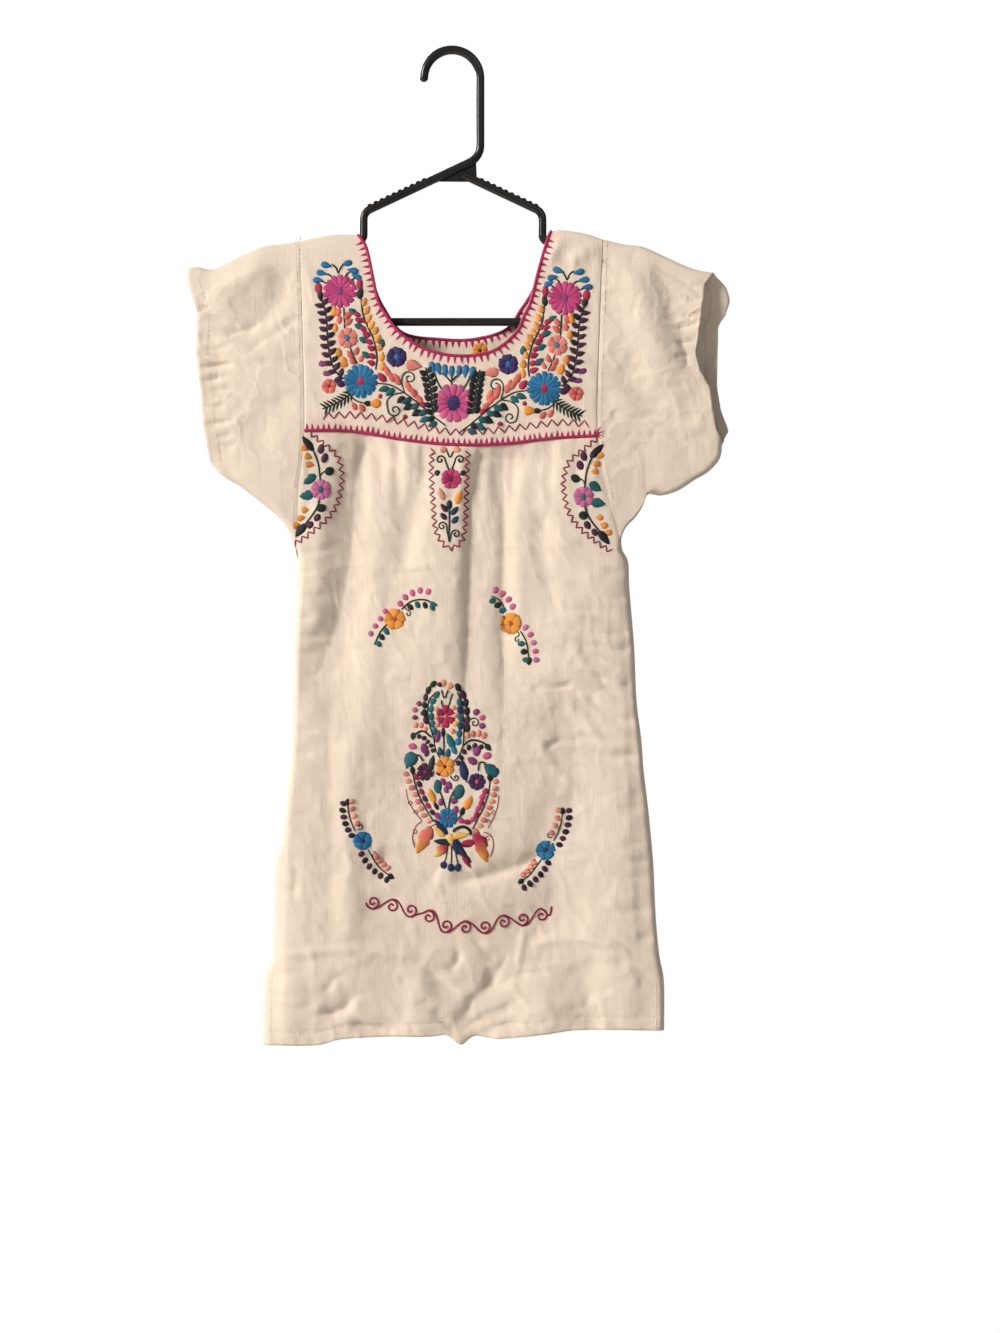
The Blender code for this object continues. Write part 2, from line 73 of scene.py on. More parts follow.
RIDGE = (
    (-222, -180), (-214, -179), (-201, -181), (-186, -174), (-173, -168), (-159, -162), (-144, -160),
    (-131, -158), (-117, -155), (-99, -152), (-79, -152), (-60, -152), (60, -149), (83, -149), (91, -148),
    (112, -151), (127, -156), (145, -160), (160, -162), (174, -168), (188, -174.5), (204, -181),
    (220, -184),
)
FRONT_NECK = (
    ((-79, -152), (-72, -163), (-67, -185), (-62, -208), (-56, -219)),
    ((-56, -219), (-44, -235), (-23, -249), (5, -255), (34, -251), (54, -235), (60, -222)),
    ((60, -222), (66, -209), (72, -185), (79, -160), (83, -149)),
)
BACK_NECK = (
    ((-79, -152), (-73, -172), (-65, -197), (-57, -214)),
    ((-57, -214), (-41, -234), (-9, -239), (19, -239), (45, -231), (58, -214)),
    ((58, -214), (67.5, -199), (73.5, -180), (79.5, -159), (83, -149)),
)
LEFT_ARMHOLE = ((-128, -157), (-125, -226), (-123, -317), (-128, -366), (-129, -425))
RIGHT_ARMHOLE = ((127, -156), (124, -226), (122, -321), (131, -375), (143, -417))
YOKE_SEAM = (
    (-123, -317), (-82, -317.5), (-41, -324.5), (0, -328.5), (41, -328), (82, -323.5), (122, -321),
)
HEM = (
    (-158, -830), (-114, -830), (-93, -825), (-62, -823), (-20, -823), (-4, -822), (8, -830), (19, -823),
    (41, -825), (76, -822), (110, -818), (178, -819),
)
LEFT_UNDER_SLEEVE = (
    (-202, -344), (-193, -354), (-177, -364), (-159, -378), (-142, -393), (-133, -411), (-129, -425),
)
RIGHT_UNDER_SLEEVE = (
    (227, -327), (225, -340), (216, -351), (205, -358), (192, -367), (179, -371), (169, -370), (165, -380),
    (159, -389), (150, -398), (144, -409), (143, -417),
)
LEFT_SIDE = (
    (-129, -425), (-130, -457), (-132, -492), (-133, -543), (-134, -576), (-137, -611), (-143, -662),
    (-148, -679), (-150, -748), (-152, -763), (-157, -776), (-158, -830),
)
RIGHT_SIDE = (
    (143, -417), (148, -427), (149, -449), (153, -498), (155, -543), (159, -576), (161, -602), (165, -636),
    (169, -679), (171, -722), (174, -756), (178, -779), (178, -819),
)
LEFT_CUFF = ((-180, -222), (-190, -222), (-218, -213), (-250, -214), (-285, -210), (-311, -208), (-344, -202))
RIGHT_CUFF_FRONT = (
    (-184, 220), (-194, 212), (-225, 208), (-252, 204), (-265, 207), (-281, 216), (-296, 218), (-316, 221),
    (-327, 227),
)
RIGHT_CUFF_BACK = (
    (-184, 220), (-196, 231), (-207, 234), (-219, 230), (-228, 224), (-278, 223), (-298, 226), (-316, 233),
    (-327, 227),
)
FRONT_FULLNESS = (
    (-830, 14), (-700, 16), (-500, 16), (-400, 14), (-320, 10.5), (-250, 7), (-200, 4), (-150, 0),
)
BACK_FULLNESS = ((-830, 8.0), (-600, 7.0), (-400, 5.0), (-250, 3.0), (-150, 0.0))


@dataclass(frozen=True)
class Fold:
    """A trough in the cloth, or a ridge where its depth is negative.

    Attributes:
        line: The fold's line as seen from the front.
        left: Width of its side towards -X of a falling line.
        right: Width of its side towards +X of a falling line.
        depth: How far it goes in.
        fade: Share of its length over which its ends run out.
        start: Share over which its first end runs out, where that differs.
    """

    line: Rows
    left: float
    right: float
    depth: float
    fade: float = 0.2
    start: float | None = None

    def press(self, gap: Array, turned: Array, share: Array) -> Array:
        """How far the fold pushes the cloth in.

        Args:
            gap: Distances from its line.
            turned: Sides of the line, +1 towards +X of a falling line.
            share: Shares along the line.

        Returns:
            The depths.
        """
        width = np.where(turned > 0, self.right, self.left)
        ends = eased(share / (self.start or self.fade) + 0.25) * eased((1 - share) / self.fade + 0.25)
        power = np.where(width < 0.75 * max(self.left, self.right), SHARP_SIDE, SOFT_SIDE)
        return self.depth * ends * np.exp(-((gap / width) ** power))


FRONT_FOLDS = (
    Fold(((-63, -321.5), (-74, -334.5), (-80, -353.5), (-82, -386.5), (-84.5, -421.5), (-90.5, -457),
        (-98.5, -484), (-106.5, -506.5), (-114, -526), (-125, -542.5)), 22, 52, 13, 0.3, 0.08),
    Fold(((-100, -500.5), (-101, -542.5), (-101.5, -572), (-99, -618), (-99, -668.5), (-101, -719),
        (-106, -765)), 28, 56, 6, 0.5),
    Fold(((-128.5, -500.5), (-132, -559.5), (-135, -626.5), (-138, -710.5), (-140.5, -824)), 8, 78, -9,
        0.3),
    Fold(((-24, -345), (-36, -404), (-42, -440)), 10, 9, 3.2),
    Fold(((25, -327.5), (20, -358), (15.5, -374.5), (14.5, -404), (13, -474.5), (11.5, -534), (11, -549.5)),
        6, 26, 6.8, 0.35, 0.1),
    Fold(((43, -327), (43.5, -369), (43.5, -413.5), (43, -447), (43, -492), (43.5, -534), (42, -556)), 9,
        36, 8.2, 0.35, 0.1),
    Fold(((107.5, -505), (105, -542.5), (102.5, -576), (102.5, -610), (96, -643.5), (85, -668.5),
        (82.5, -710.5), (74, -748.5)), 21, 40, 6, 0.3),
    Fold(((-3.5, -697), (15, -694.5), (40.5, -688), (65.5, -678.5), (80, -668)), 2.4, 7, 3.2, 0.3),
    Fold(((70.5, -702), (71.5, -727.5), (67, -761), (63, -794.5)), 44, 50, 6, 0.4),
    Fold(((-159.5, -168), (-170.5, -179), (-188, -195), (-206, -214)), 15, 21, -5, 0.3),
    Fold(((-168, -161.5), (-190.5, -170.5), (-215, -182.5)), 9, 13, -3.6, 0.4),
    Fold(((-139.5, -178), (-143.5, -203.5), (-153, -222), (-169.5, -232.5), (-190, -240)), 12, 9, 2.4, 0.3),
    Fold(((-125, -222.5), (-140.5, -232), (-158, -243), (-169.5, -252)), 6, 4, 2, 0.3),
    Fold(((-209, -334.5), (-201.5, -340), (-190.5, -346.5), (-176.5, -358)), 7, 5, 2.6, 0.4, 0.1),
    Fold(((-144.5, -284), (-145.5, -300.5), (-158, -316), (-173, -329.5)), 17, 15, 2.8, 0.3),
    Fold(((143, -169.5), (156, -198), (166.5, -227.5), (176.5, -258.5), (183, -280.5)), 16, 16, -5, 0.3),
    Fold(((158, -171.5), (180.5, -196.5), (184, -223.5), (195, -248), (199, -269)), 8, 14, 2.4, 0.3),
    Fold(((129.5, -156), (139.5, -169.5), (151, -180), (166.5, -185)), 12, 12, 2.6, 0.4),
    Fold(((190.5, -238.5), (195, -250.5), (198, -267)), 3, 3, 1.3, 0.4),
    Fold(((168, -178), (187, -187.5), (201.5, -198), (210, -203.5)), 2.5, 5, 2, 0.3),
    Fold(((176.5, -287.5), (200, -307.5), (208.5, -321)), 12, 10, -2.4, 0.4),
    Fold(((94, -510), (89, -563), (86, -610), (72, -650), (66, -672)), 11, 10, 1.5),
    Fold(((-8, -696), (24, -691), (46, -682), (67, -675), (82, -662)), 9, 9, 2),
    Fold(((-63, -672), (-37, -679), (-11, -695)), 12, 10, 3),
    Fold(((86, -674), (110, -669), (136, -674), (166, -678)), 8, 8, -3),
    Fold(((31, -762.5), (28.5, -781), (17.5, -791.5), (12.5, -801.5), (0, -808)), 4, 12, 3.8, 0.3),
    Fold(((-3.5, -807), (17.5, -810.5), (29.5, -805), (42, -800), (58, -790.5)), 9, 4, 3.8, 0.3),
    Fold(((8.5, -829), (29, -819), (42, -813.5), (59, -810.5)), 8, 3.6, 3.2, 0.3),
    Fold(((-20, -765), (-7.5, -778.5), (1, -784.5), (10, -790.5)), 9, 3.4, 3, 0.4),
    Fold(((-17, -802), (-9, -806.5), (-1.5, -812.5)), 4, 5, 2, 0.5),
    Fold(((-31, -797.5), (-17.5, -796)), 2, 5, 1.8, 0.5),
    Fold(((6, -749.5), (6.5, -758.5), (1.5, -766), (-7.5, -767)), 6, 2, 2.8, 0.4),
    Fold(((48.5, -754.5), (40.5, -768), (32, -780.5)), 5, 2.2, 2, 0.4),
    Fold(((52, -772), (67, -772), (84, -771)), 2, 4.5, 2, 0.4),
    Fold(((15, -736), (28.5, -754.5), (47, -761)), 3, 6, 1.8, 0.5),
    Fold(((22, -782), (40.5, -781), (57, -774.5)), 2, 6, 2, 0.5),
    Fold(((-79, -788), (-92, -800), (-112, -806)), 6, 3, 3, 0.5),
    Fold(((-86, -808), (-66, -815), (-44, -817)), 6, 3, 2.4, 0.5),
    Fold(((-134, -770), (-138, -832)), 12, 12, -3), Fold(((-24, -770), (-30, -826)), 14, 14, -3),
    Fold(((74, -762), (80, -824)), 14, 14, -3), Fold(((112, -756), (116, -822)), 14, 12, 3.5),
    Fold(((146, -760), (150, -822)), 12, 12, -2.5),
    Fold(((-105, -350), (-112, -430), (-116, -490)), 10, 10, -3),
    Fold(((-58, -340), (-64, -420), (-70, -520), (-74, -620)), 15, 15, -3.5),
    Fold(((57, -340), (56, -420), (56, -520)), 9, 10, -3),
    Fold(((-86, -560), (-86, -650), (-84, -750)), 12, 12, -3.5),
    Fold(((138, -410), (142, -520), (148, -640), (154, -760)), 45, 6, -3),
    Fold(((94, -154), (81, -178)), 6, 6, -2), Fold(((124, -160), (97, -176)), 6, 6, -2),
)
BACK_FOLDS = (
    Fold(((-84, -330), (-90, -420), (-96, -560), (-98, -700)), 14, 14, 3.5),
    Fold(((-30, -332), (-34, -450), (-38, -620), (-40, -760)), 13, 13, 3),
    Fold(((34, -332), (34, -480), (38, -640)), 13, 13, 3.5),
    Fold(((92, -330), (98, -450), (106, -600), (112, -780)), 15, 14, 3.5),
    Fold(((-150, -176), (-168, -240), (-186, -320)), 12, 12, 2),
    Fold(((150, -176), (170, -240), (196, -310)), 12, 12, 2),
)
FRONT_CREASES = (
    Fold(((-63, -672), (-37, -678.5), (-11, -694.5), (1, -705)), 3, 5, 1.6),
    Fold(((-52, -431), (-35.5, -432), (-18.5, -430)), 2.5, 2.5, -2),
    Fold(((-54, -521.5), (-34.5, -524)), 2.5, 2.5, -1.8),
    Fold(((65.5, -532.5), (87.5, -531.5), (102.5, -528.5)), 3, 2.4, 2.2),
    Fold(((78, -581.5), (92.5, -576), (107.5, -577)), 3, 2.4, 2.2),
    Fold(((75, -383), (76.5, -421.5), (81.5, -450), (89, -477)), 7, 7, 1.8),
    Fold(((121, -519), (129.5, -532.5), (140.5, -540), (153, -544.5)), 3, 3, 1.6),
    Fold(((113.5, -537), (126, -551), (140.5, -559.5), (154.5, -563.5)), 3, 3, 1.6),
    Fold(((99, -492), (112.5, -516), (129.5, -522.5)), 4, 4, -1.2),
    Fold(((90.5, -542.5), (107.5, -556), (127.5, -578), (149.5, -583)), 4, 4, -1.3),
    Fold(((70.5, -574.5), (87.5, -601.5), (107.5, -618)), 4, 4, -1.2),
    Fold(((-146, -678.5), (-128.5, -678)), 3, 3, 1.5),
    Fold(((-128.5, -678.5), (-129.5, -694), (-131, -710)), 3, 3, 1.3),
    Fold(((-148.5, -755), (-122.5, -752.5), (-83, -749.5), (-54, -753.5), (-25, -757.5)), 3.5, 3.5, -2.4),
    Fold(((-91.5, -768.5), (-99, -778), (-106, -785.5)), 3, 3, 1.4),
    Fold(((-153.5, -787), (-131, -790.5)), 3, 3, 1.2),
    Fold(((-147, -795.5), (-131, -799), (-114, -795.5)), 3, 3, 1.5),
    Fold(((-81.5, -790.5), (-90, -800.5), (-109, -804.5)), 3, 4, 2, 0.5),
    Fold(((-85, -808), (-66.5, -815), (-45.5, -816.5)), 3, 3, 1.6, 0.5),
    Fold(((61, -734), (55, -766)), 3, 3, -1.4),
    Fold(((65.5, -747.5), (92.5, -742.5), (117.5, -744), (144.5, -749.5)), 3.5, 3.5, -2.4),
    Fold(((137, -761), (151, -766), (166.5, -773.5)), 3, 3, 1.4),
    Fold(((110, -799), (117, -789)), 3, 3, 1.2),
    Fold(((85.5, -676), (110, -671), (135.5, -676), (168, -678.5)), 3, 7, 2.8),
    Fold(((-159.5, -227.5), (-169.5, -233), (-180, -236), (-189, -239.5)), 4, 2, 1.6),
    Fold(((-212.5, -219), (-208.5, -216), (-203.5, -213)), 2, 2.5, 1.9),
    Fold(((-211, -265.5), (-198, -264), (-183, -262.5)), 1.8, 3.4, 2.1),
    Fold(((-213.5, -253.5), (-203.5, -256), (-191.5, -257)), 1.8, 3.2, 1.7),
    Fold(((-209, -277), (-202.5, -276), (-193, -273)), 1.8, 3.2, 1.6),
    Fold(((-206.5, -314), (-197.5, -311.5), (-187.5, -311)), 1.8, 3.2, 1.8),
    Fold(((-204, -332), (-195, -333.5), (-185.5, -332)), 1.8, 3.2, 1.8),
    Fold(((-202.5, -340), (-195, -338.5), (-186.5, -334.5)), 1.8, 3.2, 1.7),
    Fold(((-209, -287.5), (-199, -290), (-190, -289)), 1.8, 3.2, 1.5),
    Fold(((-208.5, -297.5), (-200, -298), (-190, -296.5)), 1.8, 3.2, 1.4),
    Fold(((-211.5, -240), (-204, -241), (-195, -243.5)), 1.8, 3.2, 1.3),
    Fold(((193, -222), (201.5, -220.5), (210, -218.5)), 1.6, 3, 1.7),
    Fold(((189, -232), (199, -229.5), (207.5, -227)), 1.6, 3, 1.7),
    Fold(((187.5, -244.5), (197.5, -243), (206, -241.5)), 1.6, 3, 1.6),
    Fold(((196.5, -206.5), (204, -207.5), (211.5, -205)), 1.6, 3, 1.8),
    Fold(((200, -195), (206.5, -195.5), (213.5, -194)), 1.6, 3, 1.5),
    Fold(((186.5, -255.5), (195.5, -254.5), (203.5, -253)), 1.6, 3, 1.4),
    Fold(((127.5, -162), (131, -171.5), (129.5, -178)), 5, 4, 1.6),
    Fold(((151, -159.5), (153, -166.5), (149.5, -174.5)), 3, 5, 1.6),
    Fold(((158, -200), (153, -211.5), (151, -225)), 3, 3, 0.8),
    Fold(((146, -253), (158, -264), (174.5, -267), (188, -265.5)), 6, 6, 1.2),
    Fold(((141, -262), (149.5, -277), (163, -289), (185, -297.5), (208.5, -309)), 9, 11, 3.2),
    Fold(((132, -301.5), (150.5, -307.5), (172, -303)), 3, 3, 1.2),
    Fold(((144.5, -321.5), (172, -323.5)), 3, 3, 1),
    Fold(((159.5, -362), (169, -369), (181.5, -365.5)), 3, 3, 1.5),
    Fold(((93.5, -152), (81, -174)), 3.5, 3.5, -1.5), Fold(((124.5, -159.5), (99, -174)), 3.5, 3.5, -1.5),
    Fold(((29.5, -238.5), (31, -250.5)), 2, 2, 0.8),
)


def table(rows: Rows, value: Array) -> Array:
    """The second column of a table where its first one, in any order, has these values."""
    columns = np.array(sorted(rows), float)
    return np.interp(value, columns[:, 0], columns[:, 1])


def eased(share: Array) -> Array:
    """0 to 1 with flat ends."""
    share = np.clip(share, 0.0, 1.0)
    return share * share * (3 - 2 * share)


def rounded(share: Array) -> Array:
    """A quarter circle: upright at 0 and level at 1."""
    share = np.clip(share, 0.0, 1.0)
    return np.sqrt(1.0 - (1.0 - share) ** 2)


class Line:
    """A smooth line through the rows (x, z) of a table, as seen from the front."""

    STEPS = 6
    GLANCE = 0.4

    def __init__(self, rows: Rows) -> None:
        """Threads the curve.

        Args:
            rows: The points that it passes through.
        """
        knots = np.array(rows, float)
        padded = np.vstack([2 * knots[0] - knots[1], knots, 2 * knots[-1] - knots[-2]])
        points = []
        for a, b, c, d in zip(padded[:-3], padded[1:-2], padded[2:-1], padded[3:]):
            for step in range(self.STEPS):
                t = step / self.STEPS
                bend = (2 * a - 5 * b + 4 * c - d) * t * t + (3 * b - a - 3 * c + d) * t**3
                points.append(0.5 * (2 * b + (c - a) * t + bend))
        points.append(knots[-1])
        self.points = np.array(points)
        steps = np.linalg.norm(np.diff(self.points, axis=0), axis=1)
        self.reach = np.concatenate([[0.0], np.cumsum(steps)])
        self.length = float(self.reach[-1])

    def at(self, distance: Array) -> tuple[Array, Array]:
        """The points at these distances along the line."""
        x = np.interp(distance, self.reach, self.points[:, 0])
        return x, np.interp(distance, self.reach, self.points[:, 1])

    def heading(self, distance: Array) -> Array:
        """The line's direction.

        Args:
            distance: Distances along the line.

        Returns:
            The directions there, in radians from +X towards +Z.
        """
        x0, z0 = self.at(np.asarray(distance) - self.GLANCE)
        x1, z1 = self.at(np.asarray(distance) + self.GLANCE)
        return np.arctan2(z1 - z0, x1 - x0)

    def spot(self, distance: float, end: float = 0.0) -> tuple[float, float, float]:
        """One point of the line.

        Args:
            distance: Its distance along the line.
            end: How far from the line's ends its direction is read at least.

        Returns:
            Its x, its z and the line's direction there, in degrees.
        """
        x, z = self.at(distance)
        heading = self.heading(np.clip(distance, end, self.length - end))
        return float(x), float(z), math.degrees(float(heading))

    def near(self, x: Array, z: Array) -> tuple[Array, Array, Array]:
        """Where points lie along the line.

        Args:
            x: Their places to the right.
            z: Their heights.

        Returns:
            Their distances from it, their sides (+1 at +X of a falling line), and their shares along it.
        """
        start = self.points[:-1]
        span = np.diff(self.points, axis=0)
        square = (span**2).sum(axis=1)
        dx = np.ravel(x)[:, None] - start[:, 0]
        dz = np.ravel(z)[:, None] - start[:, 1]
        t = np.clip((dx * span[:, 0] + dz * span[:, 1]) / square, 0.0, 1.0)
        gap = np.hypot(dx - t * span[:, 0], dz - t * span[:, 1])
        best = gap.argmin(axis=1)
        row = np.arange(len(best))
        side = np.sign(dz[row, best] * span[best, 0] - dx[row, best] * span[best, 1])
        share = (self.reach[best] + t[row, best] * np.sqrt(square[best])) / self.length
        shape = np.shape(x)
        return gap[row, best].reshape(shape), side.reshape(shape), share.reshape(shape)


def beside(x: float, z: float, angle: float, reach: float) -> tuple[float, float]:
    """The point at this reach from another one, in the direction of an angle in degrees."""
    turn = math.radians(angle)
    return x + reach * math.cos(turn), z + reach * math.sin(turn)


class Crumple:
    """Soft unevenness of washed cotton: seeded noise on a lattice."""

    CELLS = 64
    SHIFT = 1000.0

    def __init__(self, seed: int, cell_x: float, cell_z: float) -> None:
        """Draws a lattice of seeded values whose cells have this width and height."""
        self.values = np.random.default_rng(seed).uniform(-1, 1, (self.CELLS, self.CELLS))
        self.cell = (cell_x, cell_z)

    def at(self, x: Array, z: Array) -> Array:
        """The unevenness.

        Args:
            x: Places to the right.
            z: Heights.

        Returns:
            A value from -1 to 1 at each place.
        """
        across = np.asarray(x) / self.cell[0] + self.SHIFT
        down = np.asarray(z) / self.cell[1] + self.SHIFT
        i = np.floor(across).astype(int)
        j = np.floor(down).astype(int)
        s = eased(across - i)
        t = eased(down - j)
        v = self.values
        n = self.CELLS
        low = v[i % n, j % n] * (1 - s) + v[(i + 1) % n, j % n] * s
        high = v[i % n, (j + 1) % n] * (1 - s) + v[(i + 1) % n, (j + 1) % n] * s
        return low * (1 - t) + high * t


class Side(Enum):
    """The two walls of the garment: the sign is the way in which a wall's outer face looks along Y."""

    FRONT = -1
    BACK = 1


def side_puckers(edge: Rows, inward: int, heights: Sequence[float], seed: int,
                 reach: float = 30.0, lift: float = 0.0) -> tuple[Fold, ...]:
    """Short creases that run in from a sewn side.

    Args:
        edge: The side's line.
        inward: +1 where the cloth lies towards +X of it.
        heights: Their heights, in z.
        seed: Seed of their lengths and slopes.
        reach: Length of the longest.
        lift: How steeply they rise from the side.

    Returns:
        The creases.
    """
    rng = np.random.default_rng(seed)
    line = Line(edge)
    made = []
    for z in heights:
        x = float(np.interp(-z, -line.points[:, 1], line.points[:, 0]))
        run = inward * rng.uniform(0.45, 1.0) * reach
        slope = (lift + rng.uniform(-0.05, 0.14)) * abs(run)
        rows = [(x, z), (x + run * 0.5, z + slope * (0.3 + 1.4 * lift)), (x + run, z + slope)]
        made.append(Fold(tuple(rows if inward > 0 else rows[::-1]), 2.4, 5.2, rng.uniform(1.8, 3.3), 0.6))
    return tuple(made)


@dataclass
class DressForm:
    """The surface of the hanging dress: how far its walls stand off the hanger's plane.

    Attributes:
        ridge_radius: Radius over which the cloth folds over the hanger's arms.
        hanger_foot: Height of the hanger's bottom bar, above which the cloth stays outside the tube.
        slit_top: Height at which the side slits start.
        slit_opening: How far each wall stands off at the open slits.
        hem_band: Height of the stitched hems.
        seam_dip: Depth of the groove along a seam.
        edge_round: Width over which a wall turns round at its edge.
        cuff_flattening: Share of its fullness that the cloth loses towards the cuffs.
        slit_flare: Width over which the walls stay open beside a slit.
        fold_reach: How far a fold is felt, as a multiple of its wider side.
        other_cloth: How far the back's unevenness is shifted from the front's.
        side_round: Width over which each wall swells from its edge.
    """

    ridge_radius: float = 4.7
    hanger_foot: float = -240.0
    slit_top: float = -770.0
    slit_opening: float = 3.5
    hem_band: float = 11.0
    seam_dip: float = 0.32
    edge_round: float = 4.5
    cuff_flattening: float = 0.45
    slit_flare: float = 40.0
    fold_reach: float = 3.8
    other_cloth: tuple[float, float] = (37, 41)
    side_round: dict[Side, float] = field(default_factory=lambda: {Side.FRONT: 80.0, Side.BACK: 50.0})

    def __post_init__(self) -> None:
        """Threads the lines and draws the seeded unevenness."""
        self.ridge_line = Line(RIDGE)
        self.seam = Line(YOKE_SEAM)
        self.hem = Line(HEM)
        self.sides = (Line(LEFT_UNDER_SLEEVE + LEFT_SIDE[1:]), Line(RIGHT_UNDER_SLEEVE + RIGHT_SIDE[1:]))
        self.armholes = (Line(LEFT_ARMHOLE), Line(RIGHT_ARMHOLE))
        left = (-421, -436, -446, -458, -475, -491, -504, -515, -526, -536, -568, -588, -640, -702)
        right = (-436, -459, -488, -500, -531, -560, -590, -622, -634, -663, -678, -692, -719, -742)
        long = (-468, -478, -489, -497, -507, -516, -526, -534, -543, -552, -561, -571, -582, -596, -608)
        puckers = side_puckers(LEFT_SIDE, 1, left, 5) + side_puckers(RIGHT_SIDE, -1, right, 6)
        puckers += side_puckers(RIGHT_SIDE, -1, long, 7, 92, 0.22)
        at_cuff = (
            (-208, -250), (-206, -264), (-206, -275), (-204, -285), (-204, -313), (-202, -324), (-200, -333),
        )
        cuffs = tuple(Fold(((x, z), (x + 12, z + 1), (x + 22, z + 3)), 2, 3.4, 1.9, 0.6) for x, z in at_cuff)
        self.folds = {
            Side.FRONT: FRONT_FOLDS + FRONT_CREASES + puckers + cuffs,
            Side.BACK: BACK_FOLDS + puckers[::2],
        }
        self.lines = {id(fold): Line(fold.line) for side in Side for fold in self.folds[side]}
        self.crumple = (
            (Crumple(11, 31, 40), 0.6), (Crumple(12, 13, 17), 0.42), (Crumple(13, 6.5, 6.5), 0.28),
            (Crumple(14, 3.6, 3.6), 0.16), (Crumple(19, 26, 7.5), 0.4),
        )
        self.creased = ((Crumple(17, 34, 21), 0.8), (Crumple(18, 15, 20), 0.5), (Crumple(20, 30, 10), 0.35))
        self.gathers = Crumple(15, 7.5, 60)
        self.ripple = Crumple(16, 5.5, 30)

    def ridge(self, x: Array) -> Array:
        """Height of the shoulder ridge."""
        return np.interp(x, self.ridge_line.points[:, 0], self.ridge_line.points[:, 1])

    def seam_height(self, x: Array) -> Array:
        """Height of the yoke's seam."""
        return np.interp(x, self.seam.points[:, 0], self.seam.points[:, 1])

    def hem_height(self, x: Array) -> Array:
        """Height of the hem's edge."""
        return np.interp(x, self.hem.points[:, 0], self.hem.points[:, 1])

    def pressed(self, side: Side, x: Array, z: Array) -> Array:
        """How far all the folds push a wall in.

        Args:
            side: The wall.
            x: Places to the right.
            z: Heights.

        Returns:
            The depth at each place.
        """
        flat_x = np.ravel(x)
        flat_z = np.ravel(z)
        total = np.zeros(flat_x.shape)
        for fold in self.folds[side]:
            line = self.lines[id(fold)]
            reach = self.fold_reach * max(fold.left, fold.right)
            low = line.points.min(axis=0) - reach
            high = line.points.max(axis=0) + reach
            close = (flat_x > low[0]) & (flat_x < high[0]) & (flat_z > low[1]) & (flat_z < high[1])
            if not close.any():
                continue
            gap, turned, share = line.near(flat_x[close], flat_z[close])
            total[close] += fold.press(gap, turned, share)
        return total.reshape(np.shape(x))

    def relief(self, side: Side, x: Array, z: Array) -> Array:
        """Small unevenness of the cloth: crumples, gathers under the yoke and puckered hems.

        Args:
            side: The wall.
            x: Places to the right.
            z: Heights.

        Returns:
            How far it stands out at each place.
        """
        total = np.zeros(np.shape(x))
        shift_x, shift_z = self.other_cloth if side is Side.BACK else (0, 0)
        for noise, height in self.crumple:
            total = total + height * noise.at(x + shift_x, z)
        for noise, height in self.creased:
            bent = noise.at(x + 0.35 * z + 5 * self.crumple[1][0].at(x, z), z + shift_z)
            total = total + height * np.exp(-np.abs(bent) / 0.09)
        below = self.seam_height(x) - z
        gathered = eased(below / 6) * (1 - eased((below - 25) / 70)) * (np.abs(x) < 121)
        total = total + 1.2 * self.gathers.at(x, z) * gathered
        above_hem = z - self.hem_height(x)
        stitch = np.exp(-(((above_hem - self.hem_band) / 2.0) ** 2))
        total = total - 0.6 * stitch * (1 + 0.6 * self.ripple.at(x, z))
        total = total + 0.6 * self.ripple.at(x, z) * (1 - eased((above_hem - 2) / 16))
        return total

    def stand_off(self, side: Side, x: Array, z: Array) -> Array:
        """How far a wall's outer face stands off the hanger's plane.

        Args:
            side: The wall.
            x: Places to the right.
            z: Heights.

        Returns:
            The distance at each place, always positive.
        """
        drop = self.ridge(x) - z
        over_arm = self.ridge_radius * rounded(drop / self.ridge_radius)
        towards_cuff = 1.0 - self.cuff_flattening * eased((np.abs(x) - 110) / 110)
        fullness = FRONT_FULLNESS if side is Side.FRONT else BACK_FULLNESS
        growth = table(fullness, z) * towards_cuff * eased(drop / 90)
        if side is Side.FRONT:
            growth = growth * np.interp(x, (-150, 150), (1.16, 0.5)) + 3.0 * eased(drop / 22)
        edge = np.minimum(*(outline.near(x, z)[0] for outline in self.sides))
        swell = np.sin(np.clip(edge / self.side_round[side], 0, 1) * math.pi / 2)
        closing = 0.86 * rounded(edge / self.edge_round) + 0.14 * swell
        sewn = np.minimum(*(line.near(x, z)[0] for line in self.armholes))
        groove = self.seam_dip * np.exp(-((sewn / 1.6) ** 2))
        groove = groove - 0.12 * np.exp(-(((sewn - 4.0) / 2.5) ** 2))
        relief = self.relief(side, x, z) * eased(edge / 14) - groove
        depth = over_arm + growth + (relief - self.pressed(side, x, z) * closing) * eased(drop / 25)
        depth = np.maximum(depth, np.where(z > self.hanger_foot, over_arm + 0.2, over_arm))
        slit = self.slit_opening * eased((self.slit_top - z) / 50) * (1 - rounded(edge / self.slit_flare))
        return depth * closing + slit

    def bleed(self, side: Side, x: Array, z: Array) -> Array:
        """How much of the red thread's dye has tinted the cloth round the edgings.

        Args:
            side: The wall.
            x: Places to the right.
            z: Heights.

        Returns:
            The share at each place, from 0 to 1.
        """
        neck = FRONT_NECK if side is Side.FRONT else BACK_NECK
        near_neck = np.minimum.reduce([Line(part).near(x, z)[0] for part in neck])
        above = z - self.seam_height(x)
        on_yoke = np.where(np.abs(x) < YOKE_REACH, np.exp(-(((above - 4.0) / 7.0) ** 2)), 0.0)
        return np.maximum(np.exp(-((near_neck / 7.5) ** 2)), on_yoke)

    def skin(self, side: Side, lift: float = 0.0) -> Callable[[Array, Array], Array]:
        """A wall's outer face as a function of x and z, moved out by lift."""
        return lambda x, z: side.value * (self.stand_off(side, x, z) + lift)

